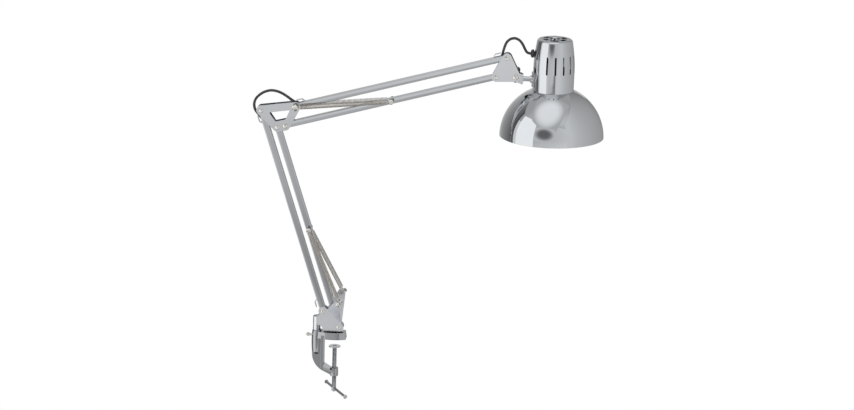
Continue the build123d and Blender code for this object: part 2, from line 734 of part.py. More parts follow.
def make_base_bracket():
    """Sheet bracket folded round the post, with a flared ear on each cheek for the springs."""
    low = SOCKET_TOP + COLLAR_HEIGHT + SEAT_GAP
    middle, heading, out = ear_frame()
    cheek = hull((base_rear, BRACKET_CORNER), (base_front, BRACKET_CORNER))
    foot_x = base_front[0] + BRACKET_CORNER - 1.0
    cheek += make_face(Polyline(
        (SWIVEL_X, low), (foot_x, low), (foot_x, base_front[1]), base_rear,
        (SWIVEL_X, POST_TOP), close=True,
    ))
    cheek -= Pos(SWIVEL_X + SHEET, low) * Circle(BRACKET_NOTCH)
    for pivot in (base_rear, base_front):
        cheek -= Pos(*pivot) * Circle(RIVET_RADIUS + RUN_GAP)
    near = slab(cheek, -plate_out, -plate_in)

    half_root = 0.42 * LOWER_SPREAD
    pin = ear_pin_spot()
    root = [shift(shift(middle, heading, end * half_root), out, -0.1) for end in (-1, 1)]
    ear = hull((root[0], 0.6), (root[1], 0.6), (pin, BRACKET_EAR_RADIUS))
    ear -= Pos(*pin) * Circle(SPRING_PIN_NECK + RUN_GAP)
    near += bend_ear(slab(ear, -plate_out, -plate_in))
    fold = Plane(
        origin=(root[0][0], -plate_in - SHEET / 2, root[0][1]), z_dir=(heading[0], 0, heading[1])
    )
    near += fold * extrude(Circle(SHEET / 2), 2 * half_root)

    wrap = Circle(plate_out) - Circle(plate_in)
    wrap &= Pos(-plate_out, 0) * Rectangle(2 * plate_out, 2 * plate_out)
    body = near + mirror(near, Plane.XZ)
    return body + Pos(SWIVEL_X, 0, low) * extrude(wrap, POST_TOP - low)


def make_base_spring_pins():
    """A riveted pin on the inner side of each ear."""
    pin = ear_pin_spot()
    inner = spring_pin_end(-plate_in, SPRING_PIN_REACH, SPRING_PIN_HEAD, SPRING_PIN_HEAD_LENGTH)
    near = turned(inner, along_y(pin, 1)) + pin_y(pin, SPRING_PIN_NECK, -plate_out, -plate_in)
    near += turned(dome_head(SPRING_PIN_HEAD, 1.2, plate_out), along_y(pin, -1))
    near = bend_ear(near)
    return [near, mirror(near, Plane.XZ)]


def ear_eye():
    """Where the near lower spring hooks on its ear pin, and that pin's axis."""
    pin = ear_pin_spot()
    hook = -plate_in + (SPRING_PIN_REACH - SPRING_PIN_HEAD_LENGTH) / 2
    neck = bend_ear(Line((pin[0], hook, pin[1]), (pin[0], hook + SHEET, pin[1])))
    return neck @ 0, neck % 0


# Arm


def make_lower_rear_bar():
    """Rear bar of the lower arm, which carries the cord."""
    hole = RIVET_RADIUS + RUN_GAP
    bar = square_bar(base_rear, elbow_rear, [(base_rear, hole), (elbow_rear, hole)])
    ends = ((base_rear, LOWER_DIRECTION, 1, FOOT_HOOD), (elbow_rear, lower_back, -1, LOWER_HOOD))
    for end in ends:
        strip, slot = cord_hood(*end)
        bar = bar + strip - slot
    return bar


def make_lower_front_bar():
    """Front bar of the lower arm, with the springs' upper pin."""
    holes = [
        (base_front, RIVET_RADIUS + RUN_GAP), (elbow_front, RIVET_RADIUS + OPEN_PIVOT_GAP),
        (lower_spring_pin_at, RIVET_RADIUS + RUN_GAP),
    ]
    return square_bar(base_front, elbow_front, holes)


def make_upper_lower_bar():
    """Lower bar of the upper arm, with the springs' outer pin."""
    holes = [
        (elbow_low, RIVET_RADIUS + RUN_GAP), (head_low, RIVET_RADIUS + OPEN_PIVOT_GAP),
        (upper_spring_pin_at, RIVET_RADIUS + RUN_GAP),
    ]
    return square_bar(elbow_low, head_low, holes)


def make_upper_upper_bar():
    """Upper bar of the upper arm, which carries the cord."""
    holes = [(elbow_high, RIVET_RADIUS + RUN_GAP), (head_high, RIVET_RADIUS + RUN_GAP)]
    bar = square_bar(elbow_high, head_high, holes)
    ends = ((elbow_high, UPPER_DIRECTION, 1, ELBOW_HOOD), (head_high, upper_back, -1, HEAD_HOOD))
    for end in ends:
        strip, slot = cord_hood(*end)
        bar = bar + strip - slot
    return bar


def make_bar_spring_pin(point):
    """A pin through a bar, with a headed neck on both sides for the springs."""
    pin = pin_y(point, RIVET_RADIUS, -BAR / 2, BAR / 2)
    for side in (-1, 1):
        end = spring_pin_end(BAR / 2, SPRING_PIN_REACH, SPRING_PIN_HEAD, SPRING_PIN_HEAD_LENGTH)
        pin += turned(end, along_y(point, side))
    return pin


def make_elbow_spring_pin():
    """Pivot pin of the upper bar, drawn out into a bell shaped spring anchor on both sides."""
    pin = pin_y(elbow_high, RIVET_RADIUS, -plate_out, plate_out)
    for side in (-1, 1):
        pin += turned(bell_end(plate_out, SPRING_PIN_REACH), along_y(elbow_high, side))
    return pin


def drilled_plate(outline, pivots, side):
    """A joint plate on the near (-1) or far (+1) side, drilled at its pivots."""
    for pivot in pivots:
        outline -= Pos(*pivot) * Circle(RIVET_RADIUS + RUN_GAP)
    ends = sorted((side * plate_in, side * plate_out))
    return slab(outline, *ends)


def make_elbow_plate(side):
    """Four cornered elbow plate with a window between its pivots."""
    corners = (elbow_rear, elbow_front, elbow_low, elbow_high)
    outline = hull(*[(corner, ELBOW_CORNER) for corner in corners])
    across = shift(elbow_high, elbow_rear, -1.0)
    span = math.hypot(*across)
    along = (across[0] / span, across[1] / span)
    down = (along[1], -along[0])
    edge = 6.0
    rear_arm = shift(shift(elbow_rear, along, 1.55 * ELBOW_CORNER), down, 0.8 * edge)
    front_arm = shift(shift(elbow_high, along, -1.25 * ELBOW_CORNER), down, 0.75 * edge)
    window = Polyline(
        rear_arm, shift(elbow_front, (-0.45 * ELBOW_CORNER, 1.1 * ELBOW_CORNER)),
        shift(elbow_low, (0, 1.3 * ELBOW_CORNER)), front_arm, close=True,
    )
    window_face = make_face(window)
    outline -= fillet(window_face.vertices(), 1.0)
    return drilled_plate(outline, corners, side)


def make_head_plate(side):
    """Three cornered plate at the end of the upper arm."""
    corners = (head_low, head_high, tilt)
    outline = hull(*[(corner, HEAD_CORNER) for corner in corners])
    return drilled_plate(outline, corners, side)


# Head joint


def make_tilt_screw():
    """Cross headed screw that the head tilts on, long enough for the knob."""
    seat = plate_out + TILT_WASHER_THICKNESS + SEAT_GAP
    end = plate_out + SEAT_GAP + TILT_KNOB_HEIGHT - 1.5
    screw = pin_y(tilt, RIVET_RADIUS, -seat, end)
    screw += turned(dome_head(TILT_HEAD_RADIUS, TILT_HEAD_HEIGHT, seat), along_y(tilt, -1))
    top = -seat - TILT_HEAD_HEIGHT
    cross = Rectangle(1.0, 4.4) + Rectangle(4.4, 1.0)
    return screw - slab(Pos(*tilt) * Rot(0, 0, 20) * cross, top - 1.0, top + 1.4)


def make_tilt_washer():
    """Toothed washer under the screw's head."""
    teeth = 16
    ring = Circle(TILT_WASHER_RADIUS) - Circle(RIVET_RADIUS + RUN_GAP)
    for i in range(teeth):
        ring -= Rot(0, 0, 360.0 * i / teeth) * Pos(TILT_WASHER_RADIUS, 0) * Circle(0.45)
    seat = plate_out + SEAT_GAP
    return slab(Pos(*tilt) * ring, -seat - TILT_WASHER_THICKNESS + SEAT_GAP, -seat + SEAT_GAP / 2)


def make_tilt_knob():
    """Two lobed hand knob on the far end of the tilt screw."""
    grip = Circle(0.55 * TILT_KNOB_RADIUS)
    lobe_radius = 0.36 * TILT_KNOB_RADIUS
    for i in range(TILT_KNOB_LOBES):
        spot = polar(TILT_KNOB_RADIUS - lobe_radius, TILT_KNOB_TURN + 360.0 * i / TILT_KNOB_LOBES)
        lobe = (Pos(*spot) * Circle(lobe_radius)).edges() + Circle(lobe_radius).edges()
        grip += make_hull(lobe)
    low = plate_out + SEAT_GAP
    knob = slab(Pos(*tilt) * grip, low + 1.5, low + TILT_KNOB_HEIGHT)
    knob += pin_y(tilt, 0.5 * TILT_KNOB_RADIUS, low, low + 1.5)
    return knob - pin_y(tilt, RIVET_RADIUS + RUN_GAP, low - 1.0, low + TILT_KNOB_HEIGHT - 1.0)


def make_tilt_knuckle():
    """Folded sheet clip between the head plates that the rod is riveted into."""
    out = plate_in - SEAT_GAP
    web_x = tilt[0] + KNUCKLE_REACH
    cheek = hull(
        (tilt, KNUCKLE_RADIUS), ((web_x - 2.0, rod_z + 6.5), 2.0), ((web_x - 2.0, rod_z - 6.5), 2.0)
    )
    outer = slab(cheek, -out, out)
    depth = 2 * (KNUCKLE_REACH + KNUCKLE_RADIUS)
    inside = Pos(web_x - KNUCKLE_SHEET - depth / 2, 0, rod_z) * Box(
        depth, 2 * (out - KNUCKLE_SHEET), 6 * KNUCKLE_RADIUS
    )
    clip = outer - inside - pin_y(tilt, RIVET_RADIUS + RUN_GAP, -BAR, BAR)
    eye = Plane(origin=(web_x - 5.0, 0, rod_z), z_dir=(1, 0, 0)) * Circle(ROD_TENON_RADIUS + RUN_GAP)
    return clip - extrude(eye, 10.0)


def housing_side(height):
    """Outer radius of the housing at a height above its foot."""
    if height <= HOUSING_BELLY_AT:
        share = height / HOUSING_BELLY_AT
        return HOUSING_FOOT_RADIUS + (HOUSING_BELLY_RADIUS - HOUSING_FOOT_RADIUS) * share
    share = (height - HOUSING_BELLY_AT) / (HOUSING_HEIGHT - HOUSING_ROUND - HOUSING_BELLY_AT)
    return HOUSING_BELLY_RADIUS - (HOUSING_BELLY_RADIUS - HOUSING_TOP_RADIUS) * share**2


def nut_start():
    """Where the nut on the rod meets the housing's inner wall."""
    inside = housing_side(rod_z - foot_z - ROD_NUT_RADIUS) - HOUSING_WALL
    return head_x - math.sqrt(inside**2 - ROD_NUT_RADIUS**2) + SEAT_GAP


def make_head_rod():
    """Rod from the knuckle to the head, riveted at one end and stepped for the saddle."""
    left = tilt[0] + KNUCKLE_REACH
    saddle_x = head_x - HOUSING_BELLY_RADIUS - SADDLE_SHEET - SADDLE_BOSS_REACH
    nut_end = nut_start() + ROD_NUT_THICKNESS + ROD_PAST_NUT
    rivet_end = left - KNUCKLE_SHEET - SEAT_GAP
    outline = [
        (0, rivet_end - 1.2),
        (ROD_TENON_RADIUS, rivet_end - 1.2),
        (ROD_TENON_RADIUS + 0.9, rivet_end),
        (ROD_TENON_RADIUS, rivet_end),
        (ROD_TENON_RADIUS, left + SEAT_GAP),
        (ROD_RADIUS, left + SEAT_GAP),
        (ROD_RADIUS, saddle_x - SEAT_GAP),
        (ROD_TENON_RADIUS, saddle_x - SEAT_GAP),
        (ROD_TENON_RADIUS, nut_end),
        (0, nut_end),
    ]
    return turned(outline, Plane(origin=(0, 0, rod_z), x_dir=(0, 1, 0), z_dir=(1, 0, 0)))


def make_rod_nut():
    """Hexagon nut that keeps the head on the rod, inside the housing."""
    ring = RegularPolygon(ROD_NUT_RADIUS, 6) - Circle(ROD_TENON_RADIUS + RUN_GAP)
    return Plane(origin=(nut_start(), 0, rod_z), z_dir=(1, 0, 0)) * extrude(ring, ROD_NUT_THICKNESS)


# Lamp head


def head_ring(points, low=0.0):
    """A ring about the head's axis from (radius, height) points."""
    return turned([(radius, low + height) for radius, height in points], upright(head_x))


def side_plane(height, angle=180.0, out=0.0):
    """A plane that faces out of the housing at a height above its foot and an angle from +X."""
    way = (math.cos(math.radians(angle)), math.sin(math.radians(angle)), 0)
    origin = (head_x + out * way[0], out * way[1], foot_z + height)
    return Plane(origin=origin, x_dir=(-way[1], way[0], 0), z_dir=way)


def make_housing():
    """Barrel shaped cap over the lampholder, slotted all round but on the arm's side."""
    top = HOUSING_HEIGHT
    wall = HOUSING_WALL
    belly = HOUSING_BELLY_AT
    shoulder = top - HOUSING_ROUND
    middle = (belly + shoulder) / 2

    def shell_line(inset):
        """Half section of the outer or the inner skin, closed along the axis."""
        side = [(housing_side(h) - inset, 0, h) for h in (0.0, belly, middle, shoulder)]
        corner = HOUSING_ROUND - inset
        crown = (housing_side(shoulder) - inset - corner, 0, shoulder + corner)
        bend = math.sqrt(0.5) * corner
        knee = (crown[0] + bend, 0, shoulder + bend)
        line = Line(side[0], side[1]) + ThreePointArc(side[1], side[2], side[3])
        line += ThreePointArc(side[3], knee, crown)
        return line + Polyline(crown, (0, 0, crown[2]), (0, 0, 0), side[0])

    shell = revolve(make_face(shell_line(0.0)), Axis.Z)
    shell -= revolve(make_face(shell_line(wall)), Axis.Z)
    body = Pos(head_x, 0, foot_z) * shell

    slot_middle = (SLOT_LOW + SLOT_HIGH) / 2
    slot = SlotCenterToCenter(SLOT_HIGH - SLOT_LOW - 2 * SLOT_RADIUS, 2 * SLOT_RADIUS)
    for i in range(SLOT_COUNT):
        angle = SLOT_PITCH * (i - (SLOT_COUNT - 1) / 2)
        plane = side_plane(slot_middle, angle, HOUSING_TOP_RADIUS / 2)
        body -= extrude(plane * Rot(0, 0, 90) * slot, HOUSING_BELLY_RADIUS)
    for i in range(VENT_COUNT):
        turn = 360.0 * (i + 0.5) / VENT_COUNT
        body -= Pos(head_x, 0, housing_top_z - 3 * wall) * Rot(0, 0, turn) * extrude(vent_window(), 6 * wall)
    hub = Circle(NIPPLE_RADIUS + RUN_GAP)
    body -= Pos(head_x, 0, housing_top_z - 3 * wall) * extrude(hub, 6 * wall)
    rod_hole = side_plane(rod_z - foot_z, 180.0, HOUSING_TOP_RADIUS / 2) * Circle(ROD_TENON_RADIUS + RUN_GAP)
    body -= extrude(rod_hole, HOUSING_BELLY_RADIUS)
    cord_hole = side_plane(GROMMET_ABOVE_FOOT, 180.0, HOUSING_TOP_RADIUS / 2)
    body -= extrude(cord_hole * Circle(GROMMET_NECK_RADIUS + RUN_GAP), HOUSING_BELLY_RADIUS)
    for spot in saddle_rivet_planes(HOUSING_TOP_RADIUS / 2):
        body -= extrude(spot * Circle(SADDLE_RIVET_RADIUS + RUN_GAP), HOUSING_BELLY_RADIUS)
    return body


def vent_window():
    """One curved vent in the housing's top, centred on +X."""
    low = polar(1.0, -VENT_HALF_ANGLE)
    high = polar(1.0, VENT_HALF_ANGLE)
    ends = [[(r * way[0], r * way[1]) for way in (low, high)] for r in (VENT_INNER, VENT_OUTER)]
    line = ThreePointArc(ends[0][0], (VENT_INNER, 0), ends[0][1]) + Line(ends[0][1], ends[1][1])
    line += ThreePointArc(ends[1][1], (VENT_OUTER, 0), ends[1][0]) + Line(ends[1][0], ends[0][0])
    return make_face(line)


def make_shade():
    """Spun dome with a flat ring and an upright neck that the housing stands on."""
    outer = SHADE_RADIUS
    inner = SHADE_RADIUS - SHADE_WALL

    def on_dome(radius, sphere):
        return math.sqrt(sphere**2 - radius**2)

    low = SHADE_CENTRE_DROP
    half = NECK_RADIUS + 0.55 * (outer - NECK_RADIUS)
    neck_top = on_dome(NECK_RADIUS, outer)
    inner_neck = NECK_RADIUS - 0.3
    neck_in = NECK_OPENING
    neck_out = NECK_OPENING + 0.5
    outer_rim = on_dome(low, outer)
    inner_rim = on_dome(low, inner)
    line = ThreePointArc(
        (outer_rim, 0, low), (half, 0, on_dome(half, outer)), (NECK_RADIUS, 0, neck_top)
    )
    line += Polyline(
        (NECK_RADIUS, 0, neck_top), (neck_out, 0, neck_top), (neck_out, 0, neck_top + NECK_HEIGHT),
        (neck_in, 0, neck_top + NECK_HEIGHT), (neck_in, 0, neck_top - SHADE_WALL),
        (inner_neck, 0, neck_top - SHADE_WALL), (inner_neck, 0, on_dome(inner_neck, inner)),
    )
    line += ThreePointArc(
        (inner_neck, 0, on_dome(inner_neck, inner)), (half, 0, on_dome(half, inner)),
        (inner_rim, 0, low),
    )
    hem = SHADE_HEM / 2
    middle = (inner_rim + outer_rim) / 2
    line += ThreePointArc((inner_rim, 0, low), (middle, 0, low - hem), (outer_rim, 0, low))
    return Pos(head_x, 0, dome_z) * revolve(make_face(line), Axis.Z)


def saddle_rivet_planes(out):
    """Planes on the two saddle rivets, one on each side of the rod."""
    middle = rod_z - foot_z
    return [side_plane(middle, 180.0 + end * SADDLE_RIVET_ANGLE, out) for end in (-1, 1)]


def make_head_saddle():
    """Curved strap riveted to the housing, with the boss that turns on the rod."""
    middle = rod_z - foot_z
    inner = HOUSING_BELLY_RADIUS + SEAT_GAP
    outer = inner + SADDLE_SHEET
    ring = Circle(outer) - Circle(inner)
    edge = polar(2 * outer, 180.0 - SADDLE_HALF_ANGLE)
    wedge = make_face(Polyline((0, 0), edge, (edge[0], -edge[1]), close=True))
    low = Pos(head_x, 0, rod_z - SADDLE_HALF_HEIGHT)
    strap = low * extrude(ring & wedge, 2 * SADDLE_HALF_HEIGHT)
    boss_length = SADDLE_BOSS_REACH + 0.5 * SADDLE_SHEET
    boss_start = side_plane(middle, 180.0, outer - 0.5 * SADDLE_SHEET)
    boss = boss_start * extrude(Circle(SADDLE_BOSS_RADIUS), boss_length)
    body = strap + boss
    body -= side_plane(middle, 180.0, inner - 5.0) * extrude(Circle(ROD_TENON_RADIUS + RUN_GAP), 20.0)
    for spot in saddle_rivet_planes(inner - 5.0):
        body -= extrude(spot * Circle(SADDLE_RIVET_RADIUS + RUN_GAP), 20.0)
    return body


def make_saddle_rivets():
    """Two rivets through the saddle and the housing wall."""
    inner = HOUSING_FOOT_RADIUS - HOUSING_WALL - 0.8
    outer = HOUSING_BELLY_RADIUS + 2 * SEAT_GAP + SADDLE_SHEET
    rivets = []
    for plane in saddle_rivet_planes(0.0):
        outline = [
            (0, inner), (SADDLE_RIVET_RADIUS, inner), (SADDLE_RIVET_RADIUS, outer),
            (1.7 * SADDLE_RIVET_RADIUS, outer), (1.3 * SADDLE_RIVET_RADIUS, outer + 1.0), (0, outer + 1.2),
        ]
        rivets.append(turned(outline, plane))
    return rivets


# Lampholder, from its open mouth upwards


holder_low = HOLDER_MOUTH_ABOVE_FOOT
holder_top = holder_low + HOLDER_BODY_HEIGHT
sleeve_out = HOLDER_BORE + HOLDER_SLEEVE_WALL


def make_lampholder_body():
    """Moulded body round the sleeve, closed at the top but for the nipple."""
    cup = holder_low + HOLDER_SLEEVE_DEPTH + CONTACT_HEIGHT + SEAT_GAP
    outline = [
        (sleeve_out + RUN_GAP, holder_low),
        (HOLDER_BODY_RADIUS, holder_low),
        (HOLDER_BODY_RADIUS, cup + 4.0),
        (HOLDER_BODY_RADIUS - 3.0, cup + 9.0),
        (HOLDER_BODY_RADIUS - 4.0, holder_top - 5.0),
        (NIPPLE_RADIUS + 4.5, holder_top),
        (NIPPLE_RADIUS + RUN_GAP, holder_top),
        (NIPPLE_RADIUS + RUN_GAP, holder_top - 8.0),
        (0, holder_top - 8.0),
        (0, cup),
        (sleeve_out + RUN_GAP, cup),
    ]
    return head_ring(outline, foot_z)


def make_lampholder_sleeve():
    """Metal sleeve that takes the lamp's cap."""
    top = holder_low + HOLDER_SLEEVE_DEPTH
    outline = [
        (HOLDER_BORE, holder_low), (sleeve_out, holder_low), (sleeve_out, top), (HOLDER_BORE, top),
    ]
    return head_ring(outline, foot_z)


def make_lampholder_contact():
    """Centre contact in the holder's floor."""
    top = holder_low + HOLDER_SLEEVE_DEPTH + CONTACT_HEIGHT
    outline = [
        (0, top - CONTACT_HEIGHT), (0.6 * CONTACT_RADIUS, top - CONTACT_HEIGHT),
        (CONTACT_RADIUS, top - 0.4 * CONTACT_HEIGHT), (CONTACT_RADIUS, top), (0, top),
    ]
    return head_ring(outline, foot_z)


def make_lampholder_nipple():
    """Threaded tube that hangs the lampholder from the housing's top."""
    outline = [
        (NIPPLE_BORE, holder_top - 8.0 + SEAT_GAP), (NIPPLE_RADIUS, holder_top - 8.0 + SEAT_GAP),
        (NIPPLE_RADIUS, HOUSING_HEIGHT + CAP_NUT_HEIGHT - 1.0),
        (NIPPLE_BORE, HOUSING_HEIGHT + CAP_NUT_HEIGHT - 1.0),
    ]
    tube = head_ring(outline, foot_z)
    window = side_plane((holder_top + HOUSING_HEIGHT) / 2, 180.0) * Circle(NIPPLE_BORE)
    return tube - extrude(window, 2 * NIPPLE_RADIUS)


def make_cap_nut():
    """Round nut on the housing's top that the nipple hangs in."""
    low = HOUSING_HEIGHT + SEAT_GAP
    high = low + CAP_NUT_HEIGHT
    outline = [
        (NIPPLE_RADIUS + RUN_GAP, low), (CAP_NUT_RADIUS, low), (CAP_NUT_RADIUS, high - 1.2),
        (CAP_NUT_RADIUS - 1.2, high), (0, high), (0, high - 0.9), (NIPPLE_RADIUS + RUN_GAP, high - 0.9),
    ]
    return head_ring(outline, foot_z)


def make_cord_grommet():
    """Moulded grommet that the cord enters the housing through."""
    wall = housing_side(GROMMET_ABOVE_FOOT)
    outline = [
        (CORD / 2 + RUN_GAP, wall - HOUSING_WALL - 2.5),
        (GROMMET_NECK_RADIUS, wall - HOUSING_WALL - 2.5),
        (GROMMET_NECK_RADIUS, wall + GROMMET_SEAT),
        (GROMMET_RADIUS - 0.8, wall + GROMMET_SEAT),
        (GROMMET_RADIUS, wall + GROMMET_SEAT + 0.8),
        (GROMMET_RADIUS, wall + GROMMET_REACH - 2.4),
        (GROMMET_RADIUS - 1.8, wall + GROMMET_REACH - 0.5),
        (CORD / 2 + 1.2, wall + GROMMET_REACH),
        (CORD / 2 + RUN_GAP, wall + GROMMET_REACH),
    ]
    return turned(outline, side_plane(GROMMET_ABOVE_FOOT, 180.0))


# Cord: a run inside each cord carrying bar, and the loops that bridge the elbow and the head


lower_end = (elbow_rear, lower_back, -1, LOWER_HOOD)
upper_start = (elbow_high, UPPER_DIRECTION, 1, ELBOW_HOOD)
upper_end = (head_high, upper_back, -1, HEAD_HOOD)
grommet_mouth = head_x - housing_side(GROMMET_ABOVE_FOOT) - GROMMET_REACH
grommet_z = foot_z + GROMMET_ABOVE_FOOT


def flat_route(points):
    """Points in X and Z as points in the arm's plane."""
    return [(x, 0.0, z) for x, z in points]


def make_cord_lower_run():
    """Cord inside the rear bar, out through the bridge at its upper end."""
    start = bar_point(base_rear, LOWER_DIRECTION, cord_dip(FOOT_HOOD), 0.0)
    dip = bar_point(elbow_rear, lower_back, cord_dip(LOWER_HOOD), 0.0)
    exit_spot = cord_exit(*lower_end, CORD_PAST_MOUTH)
    route = flat_route([start, dip, exit_spot])
    return cord_tube("cord_lower_run", route, bend_radii(route))


def make_cord_upper_run():
    """Cord inside the upper bar, through a bridge at each end."""
    first = bar_point(elbow_high, UPPER_DIRECTION, cord_dip(ELBOW_HOOD), 0.0)
    last = bar_point(head_high, upper_back, cord_dip(HEAD_HOOD), 0.0)
    entry_spot = cord_exit(*upper_start, CORD_PAST_MOUTH)
    exit_spot = cord_exit(*upper_end, CORD_PAST_MOUTH)
    route = flat_route([entry_spot, first, last, exit_spot])
    return cord_tube("cord_upper_run", route, bend_radii(route))


def halves(name, points, split):
    """A loop in two lengths that meet in the middle of the run that starts at point split."""
    spots = flat_route(points)
    radii = bend_radii(spots)
    middle = tuple((a + b) / 2 for a, b in zip(spots[split], spots[split + 1]))
    first = cord_tube(name + "_start", spots[:split + 1] + [middle], radii[:split])
    last = cord_tube(name + "_end", [middle] + spots[split + 1:], radii[split:])
    return first, last


def make_cord_elbow_loop():
    """Loop over the elbow, from the rear bar to the upper bar."""
    far = CORD_PAST_MOUTH + CORD_LEAD
    points = [cord_exit(*lower_end, CORD_PAST_MOUTH), cord_exit(*lower_end, far)]
    points += [shift(elbow_rear, step) for step in ELBOW_LOOP]
    points += [cord_exit(*upper_start, far), cord_exit(*upper_start, CORD_PAST_MOUTH)]
    return halves("cord_elbow_loop", points, 6)


def make_cord_head_loop():
    """Loop from the upper bar to the grommet in the housing."""
    far = CORD_PAST_MOUTH + CORD_LEAD
    points = [cord_exit(*upper_end, CORD_PAST_MOUTH), cord_exit(*upper_end, far)]
    points += [shift(head_high, step) for step in HEAD_LOOP]
    points += [(grommet_mouth - GROMMET_LEAD, grommet_z), (grommet_mouth, grommet_z)]
    return halves("cord_head_loop", points, 5)


def make_cord_head_tail():
    """Cord from the grommet's mouth to the nipple of the lampholder."""
    nipple_z = foot_z + (holder_top + HOUSING_HEIGHT) / 2
    points = [
        (grommet_mouth, grommet_z), (grommet_mouth + GROMMET_REACH + GROMMET_TAIL, grommet_z),
        (head_x - NIPPLE_RADIUS - 8.0, nipple_z), (head_x - 1.0, nipple_z),
    ]
    route = flat_route(points)
    return cord_tube("cord_head_tail", route, bend_radii(route))


# Springs


def spring_eyes():
    """The near springs' end points and pin axes."""
    hook = (SPRING_PIN_REACH - SPRING_PIN_HEAD_LENGTH) / 2
    across = Vector(0, 1, 0)
    bar_eye = -BAR / 2 - hook
    plate_eye = -plate_out - hook
    ear_spot, ear_axis = ear_eye()
    lower_spot = Vector(lower_spring_pin_at[0], bar_eye, lower_spring_pin_at[1])
    elbow_spot = Vector(elbow_high[0], plate_eye, elbow_high[1])
    upper_spot = Vector(upper_spring_pin_at[0], bar_eye, upper_spring_pin_at[1])
    lower = (ear_spot, ear_axis, lower_spot, across)
    upper = (elbow_spot, across, upper_spot, across)
    return lower, upper


# Write every piece


def save(name, shape):
    """Write one piece, or a group of like pieces, under its name."""
    solids = shape if isinstance(shape, list) else [shape]
    parts = [solid for item in solids for solid in item.solids()]
    export_step(parts[0] if len(parts) == 1 else Compound(children=parts), f"parts/{name}.step")


lower_spring_ends, upper_spring_ends = spring_eyes()
lower_spring = spring("lower_spring_near", *lower_spring_ends)
upper_spring = spring("upper_spring_near", *upper_spring_ends)
elbow_pivots = (elbow_rear, elbow_front, elbow_low)

save("clamp_frame", make_clamp_frame())
save("clamp_screw", make_clamp_screw())
save("tommy_bar", make_tommy_bar())
save("pressure_pad", make_pressure_pad())
save("swivel_thumbscrew", make_thumbscrew())
save("base_post", make_base_post())
save("base_bracket", make_base_bracket())
save("base_rivets", [rivet(pivot, plate_out + SEAT_GAP) for pivot in (base_rear, base_front)])
save("base_washers", washers((base_rear, base_front)))
save("base_spring_pins", make_base_spring_pins())
save("lower_rear_bar", make_lower_rear_bar())
save("lower_front_bar", make_lower_front_bar())
save("lower_spring_pin", make_bar_spring_pin(lower_spring_pin_at))
save("lower_spring_near", lower_spring)
save("lower_spring_far", mirror(lower_spring, Plane.XZ))
save("elbow_plate_near", make_elbow_plate(-1))
save("elbow_plate_far", make_elbow_plate(1))
save("elbow_rivets", [rivet(pivot, plate_out + SEAT_GAP) for pivot in elbow_pivots])
save("elbow_washers", washers(elbow_pivots + (elbow_high,)))
save("elbow_spring_pin", make_elbow_spring_pin())
save("upper_lower_bar", make_upper_lower_bar())
save("upper_upper_bar", make_upper_upper_bar())
save("upper_spring_pin", make_bar_spring_pin(upper_spring_pin_at))
save("upper_spring_near", upper_spring)
save("upper_spring_far", mirror(upper_spring, Plane.XZ))
save("head_plate_near", make_head_plate(-1))
save("head_plate_far", make_head_plate(1))
save("head_rivets", [rivet(pivot, plate_out + SEAT_GAP) for pivot in (head_low, head_high)])
save("head_washers", washers((head_low, head_high)))
save("tilt_screw", make_tilt_screw())
save("tilt_washer", make_tilt_washer())
save("tilt_knob", make_tilt_knob())
save("tilt_knuckle", make_tilt_knuckle())
save("head_rod", make_head_rod())
save("rod_nut", make_rod_nut())
save("head_saddle", make_head_saddle())
save("saddle_rivets", make_saddle_rivets())
save("housing", make_housing())
save("housing_cap_nut", make_cap_nut())
save("shade", make_shade())
save("lampholder_nipple", make_lampholder_nipple())
save("lampholder_body", make_lampholder_body())
save("lampholder_sleeve", make_lampholder_sleeve())
save("lampholder_contact", make_lampholder_contact())
save("cord_grommet", make_cord_grommet())
save("cord_lower_run", make_cord_lower_run())
save("cord_upper_run", make_cord_upper_run())
for loop, lengths in (("elbow", make_cord_elbow_loop()), ("head", make_cord_head_loop())):
    for end, length in zip(("start", "end"), lengths):
        save(f"cord_{loop}_loop_{end}", length)
save("cord_head_tail", make_cord_head_tail())
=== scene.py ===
"""Clamp lamp on a spring balanced arm: finishes, springs, cord, screw thread and studio."""

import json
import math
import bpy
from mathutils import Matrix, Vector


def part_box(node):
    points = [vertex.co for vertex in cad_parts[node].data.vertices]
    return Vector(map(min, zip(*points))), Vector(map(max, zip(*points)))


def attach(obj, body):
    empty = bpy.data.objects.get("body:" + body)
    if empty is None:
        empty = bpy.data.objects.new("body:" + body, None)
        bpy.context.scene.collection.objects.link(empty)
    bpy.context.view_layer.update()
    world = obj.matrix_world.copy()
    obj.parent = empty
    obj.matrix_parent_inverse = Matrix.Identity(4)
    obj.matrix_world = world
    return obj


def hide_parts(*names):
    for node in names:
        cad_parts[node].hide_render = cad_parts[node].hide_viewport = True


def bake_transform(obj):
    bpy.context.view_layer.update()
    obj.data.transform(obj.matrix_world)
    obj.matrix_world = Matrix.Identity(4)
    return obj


bl_info = {
    "name": "Clamp lamp",
    "version": (1, 0, 0),
    "blender": (4, 5, 0),
    "location": "View3D > Sidebar > Lamp",
    "description": "Dresses the clamp lamp's solids with finishes, springs, cord and thread",
    "category": "Object",
}

import bpy
from bpy.props import FloatProperty, FloatVectorProperty, PointerProperty
from mathutils import Matrix, Vector

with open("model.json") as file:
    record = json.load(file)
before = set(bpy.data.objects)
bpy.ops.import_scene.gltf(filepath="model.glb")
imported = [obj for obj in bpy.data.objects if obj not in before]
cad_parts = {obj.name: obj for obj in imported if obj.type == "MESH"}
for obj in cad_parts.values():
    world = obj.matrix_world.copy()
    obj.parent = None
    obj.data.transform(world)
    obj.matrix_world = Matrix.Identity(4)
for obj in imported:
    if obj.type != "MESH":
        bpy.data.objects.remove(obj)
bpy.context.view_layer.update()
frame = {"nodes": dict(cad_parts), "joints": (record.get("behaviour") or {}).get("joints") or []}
NODES = frame["nodes"]
JOINTS = {joint["name"]: joint for joint in frame["joints"]}


